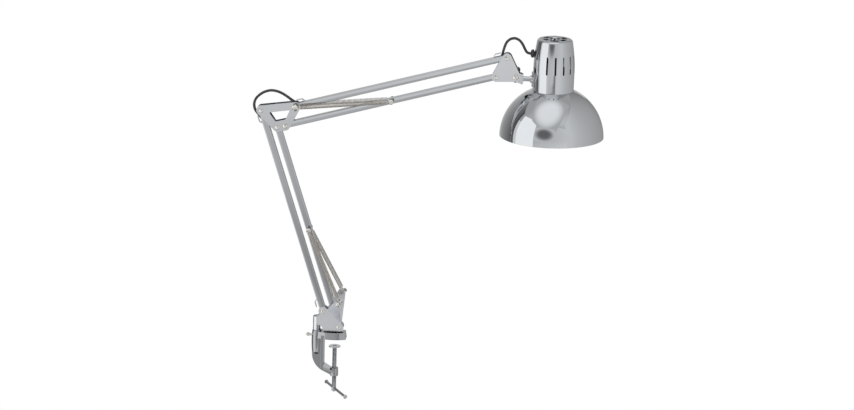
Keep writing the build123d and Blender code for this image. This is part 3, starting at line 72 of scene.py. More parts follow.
def pivot(joint):
    """A joint's place at rest."""
    return Vector(JOINTS[joint]["pos_m"])


# Sizes and colours that a user would change


class LampSizes(bpy.types.PropertyGroup):
    """Sizes of the pieces that are wound or drawn here."""

    wire: FloatProperty(
        name="Spring wire", description="Diameter of the spring wire",
        default=0.0013, unit="LENGTH", precision=5,
    )
    coil: FloatProperty(
        name="Coil radius", description="Coil axis to the middle of the wire",
        default=0.0033, unit="LENGTH", precision=5,
    )
    eye: FloatProperty(
        name="Eye radius", description="Middle of the wire round a spring pin",
        default=0.00305, unit="LENGTH", precision=5,
    )
    pitch: FloatProperty(
        name="Coil pitch", description="From one turn of a spring to the next",
        default=0.00205, unit="LENGTH", precision=5,
    )
    lead: FloatProperty(
        name="Spring lead", description="From an eye to the first full turn",
        default=0.005, unit="LENGTH", precision=5,
    )
    cord: FloatProperty(
        name="Cord", description="Diameter of the cord",
        default=0.0044, unit="LENGTH", precision=5,
    )
    thread: FloatProperty(
        name="Thread pitch", description="Pitch of the clamp screw's thread",
        default=0.00125, unit="LENGTH", precision=5,
    )


class LampFinishes(bpy.types.PropertyGroup):
    """Colours of the finishes."""

    chrome: FloatVectorProperty(
        name="Chrome", description="Polished plating",
        default=(0.525, 0.54, 0.56), subtype="COLOR", min=0, max=1,
    )
    nickel: FloatVectorProperty(
        name="Nickel", description="Rivets, pins and small turned pieces",
        default=(0.72, 0.70, 0.66), subtype="COLOR", min=0, max=1,
    )
    wire: FloatVectorProperty(
        name="Spring wire", description="Drawn spring wire",
        default=(0.55, 0.52, 0.48), subtype="COLOR", min=0, max=1,
    )
    cord: FloatVectorProperty(
        name="Cord", description="Sheath of the cord and the grommet",
        default=(0.018, 0.018, 0.02), subtype="COLOR", min=0, max=1,
    )
    knob: FloatVectorProperty(
        name="Knob", description="Moulded hand knob",
        default=(0.015, 0.015, 0.017), subtype="COLOR", min=0, max=1,
    )
    brass: FloatVectorProperty(
        name="Brass", description="Metal inside the lampholder",
        default=(0.60, 0.44, 0.19), subtype="COLOR", min=0, max=1,
    )


class LampStudio(bpy.types.PropertyGroup):
    """Camera and light."""

    azimuth: FloatProperty(
        name="Azimuth", description="Camera's turn round the lamp",
        default=math.radians(4.0), subtype="ANGLE",
    )
    elevation: FloatProperty(
        name="Elevation", description="Camera's height above the horizon",
        default=math.radians(15.0), subtype="ANGLE",
    )
    roll: FloatProperty(
        name="Roll", description="Camera's lean",
        default=math.radians(1.6), subtype="ANGLE",
    )
    distance: FloatProperty(
        name="Distance", description="Camera to the point it looks at",
        default=4.932, unit="LENGTH",
    )
    lens: FloatProperty(
        name="Lens", description="Focal length on a 36 mm sensor",
        default=126.46, unit="CAMERA",
    )
    aim: FloatVectorProperty(
        name="Aim", description="Point that the camera looks at",
        default=(0.1478, 0.0, 0.2361), subtype="TRANSLATION",
    )
    floor: FloatProperty(
        name="Floor", description="Height of the floor",
        default=-1.15, unit="LENGTH",
    )


# Shader maths


class Value:
    """A socket that can be used in Python expressions, each of which adds a Math node."""

    def __init__(self, tree, socket):
        self.tree = tree
        self.socket = socket

    def _maths(self, operation, first, second):
        node = self.tree.nodes.new("ShaderNodeMath")
        node.operation = operation
        for socket, value in zip(node.inputs, (first, second)):
            if isinstance(value, Value):
                self.tree.links.new(value.socket, socket)
            else:
                socket.default_value = value
        return Value(self.tree, node.outputs[0])

    def __add__(self, other):
        return self._maths("ADD", self, other)

    def __radd__(self, other):
        return self._maths("ADD", other, self)

    def __sub__(self, other):
        return self._maths("SUBTRACT", self, other)

    def __rsub__(self, other):
        return self._maths("SUBTRACT", other, self)

    def __mul__(self, other):
        return self._maths("MULTIPLY", self, other)

    def __rmul__(self, other):
        return self._maths("MULTIPLY", other, self)

    def __pow__(self, other):
        return self._maths("POWER", self, other)

    def most(self, other):
        return self._maths("MAXIMUM", self, other)

    def least(self, other):
        return self._maths("MINIMUM", self, other)


class Finish:
    """A material's node tree, built with one method."""

    def __init__(self, name):
        self.material = bpy.data.materials.new(name)
        self.material.use_nodes = True
        self.tree = self.material.node_tree
        self.tree.nodes.clear()

    def add(self, kind, settings=None, **sockets):
        """One node: its settings are set first, then its sockets' values or links."""
        node = self.tree.nodes.new("ShaderNode" + kind)
        for key, value in (settings or {}).items():
            setattr(node, key, value)
        for key, value in sockets.items():
            socket = self.find(node.inputs, key)
            if isinstance(value, Value):
                self.tree.links.new(value.socket, socket)
            else:
                socket.default_value = value
        return node

    @staticmethod
    def find(sockets, key):
        """The enabled socket with that name, where underscores stand for spaces."""
        wanted = key.replace("_", " ")
        return next(s for s in sockets if s.name == wanted and s.enabled)

    def out(self, node, key):
        """An output of a node as a value."""
        return Value(self.tree, self.find(node.outputs, key))

    def place(self):
        """Object coordinates."""
        return self.out(self.add("TexCoord"), "Object")

    def axes(self):
        """Object coordinates as three values."""
        parts = self.add("SeparateXYZ", Vector=self.place())
        return [self.out(parts, axis) for axis in "XYZ"]

    def noise(self, scale, detail=3.0, roughness=0.5, stretch=None):
        """A noise value, stretched along an axis where a vector is given."""
        where = self.place()
        if stretch:
            where = self.out(self.add("Mapping", Vector=where, Scale=stretch), "Vector")
        node = self.add("TexNoise", Vector=where, Scale=scale, Detail=detail, Roughness=roughness)
        return self.out(node, "Fac")

    def mix(self, share, first, second):
        """A colour between two colours."""
        node = self.add("Mix", {"data_type": "RGBA"})
        self.tree.links.new(share.socket, node.inputs["Factor"])
        for socket, colour in zip([s for s in node.inputs if s.type == "RGBA"], (first, second)):
            if isinstance(colour, Value):
                self.tree.links.new(colour.socket, socket)
            else:
                socket.default_value = (*colour, 1.0)
        return Value(self.tree, next(s for s in node.outputs if s.type == "RGBA"))

    def bump(self, height, depth, edge=0.0):
        """A normal from a height value and its depth in metres, with edges rounded off."""
        node = self.add("Bump", Height=height, Distance=depth, Strength=1.0)
        if edge:
            worn = self.add("Bevel", {"samples": 4}, Radius=edge)
            self.tree.links.new(worn.outputs["Normal"], node.inputs["Normal"])
        return self.out(node, "Normal")

    def end(self, shader):
        """The output, and the finished material."""
        output = self.add("OutputMaterial")
        self.tree.links.new(shader.outputs[0], output.inputs["Surface"])
        return self.material

    def close(self, **sockets):
        """The usual shader and the output, and the finished material."""
        return self.end(self.add("BsdfPrincipled", None, **sockets))


# Noise settings of the finishes: scale, detail and roughness
CLOUD = (28.0, 4.0, 0.55)          # slow change of plating's tone
FILM = (11.0, 5.0, 0.6)            # smears on plating
HAIRLINES = (900.0, 1.0, 0.4)
CAST_WAVE = (70.0, 1.0, 0.3)
SATIN_CLOUD = (260.0, 3.0, 0.6)
SATIN_GRAIN = (1800.0, 2.0, 0.5)
SHEATH_CLOUD = (120.0, 4.0, 0.6)
SHEATH_GRAIN = (2600.0, 2.0, 0.5)

HAIR_STRETCH = (1.0, 0.04, 1.0)    # hairlines are long across the arm's plane
HAIR_SHARE = 0.15                  # hairlines against a casting's wave
TUBE_HAIR = 0.000003               # height of the hairlines on a tube
TUBE_SWELL = 6.0                   # how fast a tube's face falls off from its middle line
TUBE_GLOSS, TUBE_SMEAR = 0.05, 0.12
PLATE_DEPTH, SATIN_DEPTH, SHEATH_DEPTH = 0.00002, 0.00003, 0.00004
PLATE_TONES = (0.94, 1.05)         # darkest and lightest shares of plating's colour
SATIN_TONES = (0.85, 1.12)
DUST = 2.2                         # lightest share of a sheath's colour
UNEVEN = 0.12                      # what the clouds add to a satin's or a sheath's roughness


def shade_of(colour, share):
    """A colour made lighter or darker."""
    return tuple(min(1.0, part * share) for part in colour)


def plated(finish, colour, gloss, smear, normal):
    """Ends a finish as plating, whose tone drifts and whose gloss has faint smears."""
    dark, light = (shade_of(colour, share) for share in PLATE_TONES)
    tone = finish.mix(finish.noise(*CLOUD), dark, light)
    rough = gloss + smear * finish.noise(*FILM) ** 3.0
    return finish.close(Base_Color=tone, Metallic=1.0, Roughness=rough, Normal=normal)


def plating(name, colour, gloss, smear, wave=0.0, edge=0.0):
    """Polished plating with hairlines and, on castings, a slow wave."""
    finish = Finish(name)
    height = finish.noise(*HAIRLINES, HAIR_STRETCH) * HAIR_SHARE
    if wave:
        height = height + finish.noise(*CAST_WAVE) * wave
    return plated(finish, colour, gloss, smear, finish.bump(height, PLATE_DEPTH, edge))


def drawn_tube(name, colour, spot, along):
    """Plated square tube through a spot in the arm's plane, whose drawn faces swell a little."""
    finish = Finish(name)
    along = along.normalized()
    x, _, z = finish.axes()
    off = (z - spot.z) * along.x - (x - spot.x) * along.z
    height = off * off * -TUBE_SWELL + finish.noise(*HAIRLINES) * TUBE_HAIR
    return plated(finish, colour, TUBE_GLOSS, TUBE_SMEAR, finish.bump(height, 1.0))


def turned_metal(name, colour, gloss):
    """Small turned or headed metal with a fine, uneven satin."""
    finish = Finish(name)
    cloud = finish.noise(*SATIN_CLOUD)
    dark, light = (shade_of(colour, share) for share in SATIN_TONES)
    tone = finish.mix(cloud, dark, light)
    normal = finish.bump(finish.noise(*SATIN_GRAIN), SATIN_DEPTH)
    rough = gloss + UNEVEN * cloud
    return finish.close(Base_Color=tone, Metallic=1.0, Roughness=rough, Normal=normal)


def sheath(name, colour, gloss):
    """Extruded or moulded black plastic with a faint grain and dust."""
    finish = Finish(name)
    cloud = finish.noise(*SHEATH_CLOUD)
    tone = finish.mix(cloud ** 2.0, colour, shade_of(colour, DUST))
    normal = finish.bump(finish.noise(*SHEATH_GRAIN), SHEATH_DEPTH)
    return finish.close(Base_Color=tone, Roughness=gloss + UNEVEN * cloud, Normal=normal)


FINISHES = {}


def paint(obj, name):
    """Gives an object one of the finishes."""
    obj.data.materials.clear()
    obj.data.materials.append(FINISHES[name])


# Drawing tools

SMOOTH = math.radians(50.0)    # edges of a round section that are flatter than this are smoothed
WIRE_SIDES = 2                 # bevel steps of a spring's wire
CORD_SIDES = 3                 # bevel steps of the cord


def alone(obj):
    """Makes an object the only selected one, and the active one."""
    bpy.ops.object.select_all(action="DESELECT")
    obj.select_set(True)
    bpy.context.view_layer.objects.active = obj


def curve_object(name, kind, points):
    """A curve object with one open spline through or near points."""
    curve = bpy.data.curves.new(name, "CURVE")
    curve.dimensions = "3D"
    spline = curve.splines.new(kind)
    spline.points.add(len(points) - 1)
    for spot, point in zip(spline.points, points):
        spot.co = (*point, 1.0)
    if kind == "NURBS":
        spline.order_u = 3
        spline.use_endpoint_u = True
        spline.resolution_u = 12
    obj = bpy.data.objects.new(name, curve)
    bpy.context.scene.collection.objects.link(obj)
    return obj


def as_tube(obj, radius, sides):
    """Gives a curve its round section and makes it a mesh."""
    obj.data.bevel_depth = radius
    obj.data.bevel_resolution = sides
    obj.data.use_fill_caps = True
    alone(obj)
    bpy.ops.object.convert(target="MESH")
    bpy.ops.object.shade_smooth_by_angle(angle=SMOOTH)
    return obj


def centre_line(obj):
    """The points along a curve with no section."""
    mesh = bpy.data.meshes.new_from_object(obj)
    points = [vertex.co.copy() for vertex in mesh.vertices]
    bpy.data.meshes.remove(mesh)
    return points


# Springs

EYE_START, EYE_SWEEP = 70.0, 220.0    # an eye's cut end, and from there to its way out
EYE_STEPS = 22
COIL_STEPS = 18                       # points in a turn
EASE_STEPS = 8                        # points between an eye and the first turn


def eye_arc(pin, axis, pin_axis, radius):
    """A spring's eye round a pin: its points from the cut end on, its way out and its side."""
    side = pin_axis.cross(axis).normalized()
    points = []
    for i in range(EYE_STEPS + 1):
        turn = math.radians(EYE_START + EYE_SWEEP * i / EYE_STEPS)
        points.append(pin + (axis * math.cos(turn) + side * math.sin(turn)) * radius)
    return points, side * math.cos(turn) - axis * math.sin(turn), side


def ease(first, first_way, last, last_way, count):
    """Points between two ends on a smooth bridge that keeps both headings."""
    span = (last - first).length
    points = []
    for i in range(1, count):
        t = i / count
        a = 2 * t**3 - 3 * t**2 + 1
        b = t**3 - 2 * t**2 + t
        point = first * a + first_way * (b * span) + last * (1 - a)
        points.append(point + last_way * ((t**3 - t**2) * span))
    return points


def wind_spring(name, first, first_axis, last, last_axis, sizes):
    """One wire: an eye on each pin and a close coil between them."""
    axis = (last - first).normalized()
    start, start_way, side = eye_arc(first, axis, first_axis, sizes.eye)
    finish, finish_way, finish_side = eye_arc(last, -axis, last_axis, sizes.eye)
    out = axis.cross(side)
    foot = first + axis * (sizes.eye + sizes.lead)
    length = (last - first).length - 2 * (sizes.eye + sizes.lead)
    end_out = axis.cross(finish_side)
    end_angle = math.atan2(end_out.dot(out), end_out.dot(side))
    first_angle = -math.pi / 2
    turns = round(length / sizes.pitch)
    sweep = 2 * math.pi * turns + (end_angle - first_angle) % (2 * math.pi)
    steps = turns * COIL_STEPS

    def coil(i):
        angle = first_angle + sweep * i / steps
        ring = side * math.cos(angle) + out * math.sin(angle)
        return foot + axis * (length * i / steps) + ring * sizes.coil

    turning = [coil(i) for i in range(steps + 1)]
    way_in = (turning[1] - turning[0]).normalized()
    way_out = (turning[-1] - turning[-2]).normalized()
    points = start + ease(start[-1], start_way, turning[0], way_in, EASE_STEPS) + turning
    points += ease(turning[-1], way_out, finish[-1], -finish_way, EASE_STEPS) + finish[::-1]
    return as_tube(curve_object(name, "POLY", points), sizes.wire / 2, WIRE_SIDES)


class LAMP_OT_springs(bpy.types.Operator):
    """Winds the four balance springs"""

    bl_idname = "lamp.springs"
    bl_label = "Balance springs"

    EAR = Vector((0.009309, -0.034447, 0.071268))    # hook on the pin of the bracket's near ear
    EAR_WAY = Vector((0.5398, 0.6428, 0.5436))       # that pin's axis
    ACROSS = Vector((0, 1, 0))                       # axis of the other pins
    ARM_PIN, ELBOW_PIN = 0.0094, 0.0115              # hooks' places out from the arm's plane
    # How far along a spring it has turned with its bar, which bows it least
    LOWER_SHARE, UPPER_SHARE = 0.85, 0.70

    def execute(self, context):
        sizes = context.scene.lamp_sizes
        near = {
            "lower": (
                self.EAR, self.EAR_WAY, self.pin("lower_spring_pin", self.ARM_PIN), self.ACROSS,
                "base", "lower_front", self.LOWER_SHARE,
            ),
            "upper": (
                self.pin("elbow_spring_pin", self.ELBOW_PIN), self.ACROSS,
                self.pin("upper_spring_pin", self.ARM_PIN), self.ACROSS,
                "elbow", "upper_lower", self.UPPER_SHARE,
            ),
        }
        flip = Matrix.Diagonal((1, -1, 1))
        for place, (*hooks, body, other, share) in near.items():
            for side, ends in (("near", hooks), ("far", [flip @ part for part in hooks])):
                spring = wind_spring(f"{place}_spring_wound_{side}", *ends, sizes)
                paint(spring, "spring_wire")
                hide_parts(f"{place}_spring_{side}")
                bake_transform(spring)
        return {"FINISHED"}

    @staticmethod
    def pin(node, out):
        """Where a spring hooks on the near side of a pin, out from the arm's plane."""
        low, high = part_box(node)
        return Vector(((low[0] + high[0]) / 2, -out, (low[2] + high[2]) / 2))


# Cord


def cord_piece(name, node, points, sizes):
    """A length of cord in the place of a solid, and the points along its middle."""
    cord = curve_object(name, "NURBS", points)
    path = centre_line(cord)
    as_tube(cord, sizes.cord / 2, CORD_SIDES)
    paint(cord, "cord_sheath")
    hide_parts(node)
    return cord, path


def held_cord(name, node, body, points, sizes):
    """A length of cord that a bar or the housing holds."""
    cord, _ = cord_piece(name, node, points, sizes)
    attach(cord, body)


def free_cord(name, node, points, sizes, turned=None):
    """A free length of cord over one joint. The point where it has turned with the second body is
    not used.
    """
    cord, path = cord_piece(name, node, points, sizes)
    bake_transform(cord)


def from_pivot(start, steps):
    """Points in the arm's plane, from steps in millimetres in X and Z."""
    return [start + Vector((x, 0, z)) / 1000 for x, z in steps]


class Bridge:
    """A lanced bridge near a bar's pivot, where the cord climbs out of the bar.

    The side is 1 or -1, and the mouth's place along the bar and its height are in millimetres.
    """

    def __init__(self, start, far, side, mouth, climb, height):
        self.start = start
        self.along = (far - start).normalized()
        self.out = Vector((-self.along.z, 0, self.along.x)) * side
        self.mouth = mouth / 1000
        self.height = height / 1000
        self.climb = math.radians(climb)

    def inside(self, back=0.0):
        """Where the cord leaves the bar's axis, or a point further back in the bar."""
        return self.start + self.along * (self.mouth + self.height / math.tan(self.climb) + back)

    def past(self, length):
        """A point on the cord, that far past the bridge's mouth."""
        step = self.along * (self.mouth - length * math.cos(self.climb))
        return self.start + step + self.out * (self.height + length * math.sin(self.climb))


class LAMP_OT_cords(bpy.types.Operator):
    """Draws the cord: the runs in the bars, the loops and the tail to the lampholder"""

    bl_idname = "lamp.cords"
    bl_label = "Cord"

    HELD = 0.004          # how far a held run goes on past a bridge
    LEAD = 0.010          # end of a loop's straight start, past the same bridge
    LOWER_BACK = 0.018    # end of the straight run in the lower bar, before the climb
    UPPER_BACK = 0.014    # the same in the upper bar
    # Each bridge's side, mouth, climb in degrees and height
    FOOT = (1, 8.0, 36.0, 6.0)
    LOWER = (-1, 9.0, 25.0, 6.0)
    UPPER = (1, 3.5, 45.0, 4.0)
    LAST = (-1, 8.6, 62.0, 2.5)
    # Routes in millimetres, from the elbow's and the head's pivot and from the grommet's mouth
    ELBOW_LOOP = (
        (-12.4, 3.4), (-12.6, 11.2), (-9.6, 18.7), (-3.4, 25.1), (5.0, 30.4),
        (15.3, 33.2), (26.0, 31.7), (35.4, 27.6), (43.2, 22.6),
    )
    HEAD_LOOP = (
        (-5.0, 17.2), (-2.0, 25.0), (3.9, 30.8), (11.7, 32.4), (19.2, 29.2),
        (24.5, 22.4), (27.8, 15.4),
    )
    INTO_GROMMET = ((-5.5, 0), (0, 0))
    TAIL = ((0, 0), (16.0, 0), (25.52, 9.65), (37.52, 9.65))
    ELBOW_PART = 7                            # points of the elbow's loop before it is parted
    HEAD_CORNER, HEAD_SHARE = 4, 0.55         # bend on which the head's loop is parted
    HEAD_TURNED = Vector((0.023, 0, 0.002))   # from there to where it has turned with the head

    def execute(self, context):
        sizes = context.scene.lamp_sizes
        base, elbow = pivot("lower_arm_tilt"), pivot("elbow_level")
        high, head = pivot("upper_arm_tilt"), pivot("head_level")
        foot, lower = Bridge(base, elbow, *self.FOOT), Bridge(elbow, base, *self.LOWER)
        upper, last = Bridge(high, head, *self.UPPER), Bridge(head, high, *self.LAST)
        low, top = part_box("cord_grommet")
        mouth = Vector((low[0], 0, (low[2] + top[2]) / 2))
        lower_run = [
            foot.inside(), lower.inside(self.LOWER_BACK), lower.inside(), lower.past(self.HELD),
        ]
        upper_run = [
            upper.past(self.HELD), upper.inside(), upper.inside(self.UPPER_BACK),
            last.inside(self.UPPER_BACK), last.inside(), last.past(self.HELD),
        ]
        tail = from_pivot(mouth, self.TAIL)
        held_cord("cord_in_lower_bar", "cord_lower_run", "lower_rear", lower_run, sizes)
        held_cord("cord_in_upper_bar", "cord_upper_run", "upper_upper", upper_run, sizes)
        held_cord("cord_to_lampholder", "cord_head_tail", "head", tail, sizes)
        over = [
            lower.past(self.HELD), lower.past(self.LEAD), *from_pivot(elbow, self.ELBOW_LOOP),
            upper.past(self.LEAD), upper.past(self.HELD),
        ]
        down = [
            last.past(self.HELD), last.past(self.LEAD), *from_pivot(head, self.HEAD_LOOP),
            *from_pivot(mouth, self.INTO_GROMMET),
        ]
        rise, fall = over[:self.ELBOW_PART], over[self.ELBOW_PART:]
        middle = (rise[-1] + fall[0]) / 2
        lift, drop = self.parted(down, self.HEAD_CORNER, self.HEAD_SHARE)
        free_cord(
            "cord_elbow_rise", "cord_elbow_loop_start",
            [*rise, middle], sizes,
        )
        free_cord(
            "cord_elbow_fall", "cord_elbow_loop_end",
            [middle, *fall], sizes,
        )
        free_cord(
            "cord_head_lift", "cord_head_loop_start",
            lift, sizes,
        )
        free_cord(
            "cord_head_drop", "cord_head_loop_end",
            drop, sizes, turned=drop[0] + self.HEAD_TURNED,
        )
        return {"FINISHED"}

    @staticmethod
    def parted(points, corner, share):
        """Two lengths of a route, cut some way along its bend round one of its points."""
        before = (points[corner - 1] + points[corner]) / 2
        after = (points[corner] + points[corner + 1]) / 2
        first, last = before.lerp(points[corner], share), points[corner].lerp(after, share)
        cut = first.lerp(last, share)
        return [*points[:corner], first, cut], [cut, last, *points[corner + 1:]]


# Clamp screw

ROUND = 48       # sides of a turned piece and of a hole
MERGE = 1e-6     # points closer than this are one


def turned_piece(name, outline):
    """A piece turned about the upright axis, from its outline's radii and heights in metres."""
    mesh = bpy.data.meshes.new(name)
    edges = [(i, i + 1) for i in range(len(outline) - 1)]
    mesh.from_pydata([(r, 0, z) for r, z in outline], edges, [])
    piece = bpy.data.objects.new(name, mesh)
    bpy.context.scene.collection.objects.link(piece)
    spin = piece.modifiers.new("spin", "SCREW")
    spin.steps = spin.render_steps = ROUND
    spin.use_merge_vertices = True
    spin.merge_threshold = MERGE
    alone(piece)
    bpy.ops.object.modifier_apply(modifier=spin.name)
    bpy.ops.object.mode_set(mode="EDIT")
    bpy.ops.mesh.select_all(action="SELECT")
    bpy.ops.mesh.remove_doubles(threshold=MERGE)
    bpy.ops.mesh.dissolve_degenerate(threshold=MERGE)
    bpy.ops.mesh.normals_make_consistent(inside=False)
    bpy.ops.object.mode_set(mode="OBJECT")
    return piece


def drill(piece, place, heading, radius, depth):
    """Cuts a level cross hole through a piece."""
    bpy.ops.object.select_all(action="DESELECT")
    bpy.ops.mesh.primitive_cylinder_add(
        vertices=ROUND, radius=radius, depth=depth, location=place,
        rotation=(0, math.pi / 2, heading),
    )
    drill_bit = bpy.context.object
    hole = piece.modifiers.new("hole", "BOOLEAN")
    hole.operation = "DIFFERENCE"
    hole.solver = "EXACT"
    hole.object = drill_bit
    alone(piece)
    bpy.ops.object.modifier_apply(modifier=hole.name)
    bpy.data.objects.remove(drill_bit)


class LAMP_OT_screw(bpy.types.Operator):
    """Cuts the clamp screw's thread, on the plain solid's outline"""

    bl_idname = "lamp.screw"
    bl_label = "Clamp screw"

    RADIUS = 0.00372                 # thread's crest
    ROOT = 0.0032                    # bottom of the thread
    STEM = 0.002                     # stem that holds the pad
    RIVET = 0.0028                   # stem's riveted head
    PLAIN = 0.0086                   # plain end that the tommy bar goes through
    SHOULDER = 0.00306               # top of the riveted head to the shoulder below the pad
    HEAD = 0.00066                   # height of the riveted head
    CHAMFER = 0.0008
    HOLE = (0.00225, 0.0056)         # cross hole's radius, and its height above the end
    HEADING = math.radians(-62.0)    # cross hole's direction
    SHARP = math.radians(30.0)       # edges of the core that are sharper than this stay sharp
    STEPS = 24                       # points in a turn of the thread
    RIDGE_SIDES = 0                  # bevel steps of its ridge, which leave it four sided

    def execute(self, context):
        pitch = context.scene.lamp_sizes.thread
        low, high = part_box("clamp_screw")
        bottom, top = low[2], high[2]
        start, shoulder = bottom + self.PLAIN, top - self.SHOULDER
        screw = turned_piece("clamp_screw_threaded", (
            (0, bottom), (self.RADIUS - self.CHAMFER, bottom), (self.RADIUS, bottom + self.CHAMFER),
            (self.RADIUS, start - self.RADIUS + self.ROOT), (self.ROOT, start),
            (self.ROOT, shoulder), (self.STEM, shoulder), (self.STEM, top - self.HEAD),
            (self.RIVET, top - self.HEAD), (self.STEM, top), (0, top),
        ))
        radius, height = self.HOLE
        drill(screw, (0, 0, bottom + height), self.HEADING, radius, 4 * self.RADIUS)
        bpy.ops.object.shade_smooth_by_angle(angle=self.SHARP)
        middle = self.thread(start, shoulder - pitch / 2, pitch)
        ridge = as_tube(middle, pitch / 2, self.RIDGE_SIDES)
        alone(screw)
        ridge.select_set(True)
        bpy.ops.object.join()
        paint(screw, "screw_steel")
        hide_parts("clamp_screw")
        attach(screw, "screw")
        return {"FINISHED"}

    def thread(self, low, high, pitch):
        """The middle of a right handed ridge, which runs out into the root at both ends."""
        count = round((high - low) / pitch * self.STEPS)
        points = []
        for i in range(count + 1):
            turn = 2 * math.pi * i / self.STEPS
            sunk = max(0, 1 - min(i, count - i) / (self.STEPS / 2))
            reach = self.RADIUS - pitch / 2 - sunk * (self.RADIUS - self.ROOT)
            height = low + pitch * i / self.STEPS
            points.append((reach * math.cos(turn), reach * math.sin(turn), height))
        ridge = curve_object("thread_ridge", "POLY", points)
        ridge.data.twist_mode = "Z_UP"
        return ridge


# Metal


class LAMP_OT_metalwork(bpy.types.Operator):
    """Finishes the clamp, the arm and the head"""

    bl_idname = "lamp.metalwork"
    bl_label = "Metalwork"

    # Share of the chrome's colour, gloss, smears, wave and worn edge. The plates' and the bracket's
    # shares above 1 are painted light and the casting's share below 1 is painted shade, on copies
    # of the same chrome
    PLATINGS = {
        "bright_chrome": (1.0, 0.03, 0.12),
        "plate_chrome": (1.2, 0.10, 0.16, 0.0, 0.0006),
        "bracket_chrome": (1.28, 0.34, 0.1, 0.0, 0.0006),
        "cast_chrome": (0.64, 0.05, 0.14, 1.0, 0.0012),
    }
    # Colour, its share and gloss
    TURNED = {
        "small_nickel": ("nickel", 1.0, 0.08),
        "spring_wire": ("wire", 1.0, 0.24),
        "screw_steel": ("chrome", 0.76, 0.16),
        "holder_brass": ("brass", 1.0, 0.20),
    }
    # Colour and gloss
    SHEATHS = {
        "cord_sheath": ("cord", 0.38),
        "knob_plastic": ("knob", 0.26),
        "holder_plastic": ("knob", 0.45),
    }
    # Nodes of each finish; all others are bright chrome
    PIECES = {
        "small_nickel": (
            "base_rivets", "base_washers", "elbow_rivets", "elbow_washers", "head_rivets",
            "head_washers", "base_spring_pins", "lower_spring_pin", "upper_spring_pin",
            "elbow_spring_pin", "tilt_screw", "tilt_washer", "saddle_rivets", "rod_nut",
            "swivel_thumbscrew",
        ),
        "cast_chrome": ("clamp_frame", "base_post"),
        "plate_chrome": (
            "pressure_pad", "elbow_plate_near", "elbow_plate_far", "head_plate_near",
            "head_plate_far",
        ),
        "bracket_chrome": ("base_bracket",),
        "screw_steel": ("clamp_screw", "tommy_bar"),
        "holder_brass": ("lampholder_sleeve", "lampholder_contact", "lampholder_nipple"),
        "holder_plastic": ("lampholder_body",),
        "knob_plastic": ("tilt_knob",),
        "cord_sheath": ("cord_grommet",),
    }
    # The joint on each bar, the two joints that its arm lies between, and its share of the chrome's
    # colour, which on the upper bars is painted light: a lighter copy of the same chrome
    BARS = {
        "lower_rear_bar": ("lower_arm_tilt", "lower_arm_tilt", "elbow_level", 1.0),
        "lower_front_bar": ("lower_front_tilt", "lower_arm_tilt", "elbow_level", 1.0),
        "upper_lower_bar": ("upper_bar_tilt", "upper_arm_tilt", "head_level", 1.1),
        "upper_upper_bar": ("upper_arm_tilt", "upper_arm_tilt", "head_level", 1.1),
    }

    def execute(self, context):
        colours = context.scene.lamp_finishes
        # the plates' and the bracket's lighter shares are painted light, the casting's darker share
        # is painted shade
        for name, (share, *rest) in self.PLATINGS.items():
            FINISHES[name] = plating(name, shade_of(colours.chrome, share), *rest)
        for name, (colour, share, gloss) in self.TURNED.items():
            FINISHES[name] = turned_metal(name, shade_of(getattr(colours, colour), share), gloss)
        for name, (colour, gloss) in self.SHEATHS.items():
            FINISHES[name] = sheath(name, getattr(colours, colour), gloss)
        chosen = {name: finish for finish, names in self.PIECES.items() for name in names}
        for name, (*joints, painted_light) in self.BARS.items():
            spot, first, last = map(pivot, joints)
            # the upper bars' share of 1.1 makes a lighter copy of the chrome, painted light
            colour = shade_of(colours.chrome, painted_light)
            FINISHES[name] = drawn_tube(name + "_chrome", colour, spot, last - first)
            chosen[name] = name
        for name, node in NODES.items():
            paint(node, chosen.get(name, "bright_chrome"))
        return {"FINISHED"}


# Stage

PALE = (0.85, 0.85, 0.85, 1)
WHITE = (1, 1, 1, 1)
GLOW_TOP, GLOW_FALL = 1.1, 4.4    # a glow's peak before it is cut at 1, and its fall
BAND_FALL = 16.0
DIMMEST, BRIGHTEST = 0.03, 2.0


def seen_ray(tree):
    """1 for rays from the camera and for those that metal and glass send on."""
    path = tree.nodes.new("ShaderNodeLightPath")
    seen = Value(tree, path.outputs["Is Camera Ray"])
    for kind in ("Is Glossy Ray", "Is Transmission Ray"):
        seen = seen.most(Value(tree, path.outputs[kind]))
    return seen


def white_floor():
    """Pale floor that is white where it is seen."""
    finish = Finish("studio_floor")
    pale = finish.add("BsdfDiffuse", Color=PALE)
    white = finish.add("Emission", Color=WHITE, Strength=1.0)
    blend = finish.add("MixShader", Fac=seen_ray(finish.tree))
    finish.tree.links.new(pale.outputs[0], blend.inputs[1])
    finish.tree.links.new(white.outputs[0], blend.inputs[2])
    return finish.end(blend)


def card_finish(name, level, slope=0.0, glow=0.0, band=None, top=BRIGHTEST):
    """A card that may be brighter at one end, brighter or darker in its middle, or have a band."""
    finish = Finish(name)
    x, y, _ = finish.axes()
    strength = level + slope * x
    if glow:
        middle = (GLOW_TOP - GLOW_FALL * (x * x + y * y)).most(0.0).least(1.0)
        strength = strength + glow * (middle * middle * (3.0 - 2.0 * middle))
    if band:
        height, gain = band
        off = y - height
        near = (1.0 - BAND_FALL * off * off).most(0.0)
        strength = strength + gain * (near * near)
    strength = strength.most(DIMMEST).least(top)
    return finish.end(finish.add("Emission", Color=WHITE, Strength=strength))


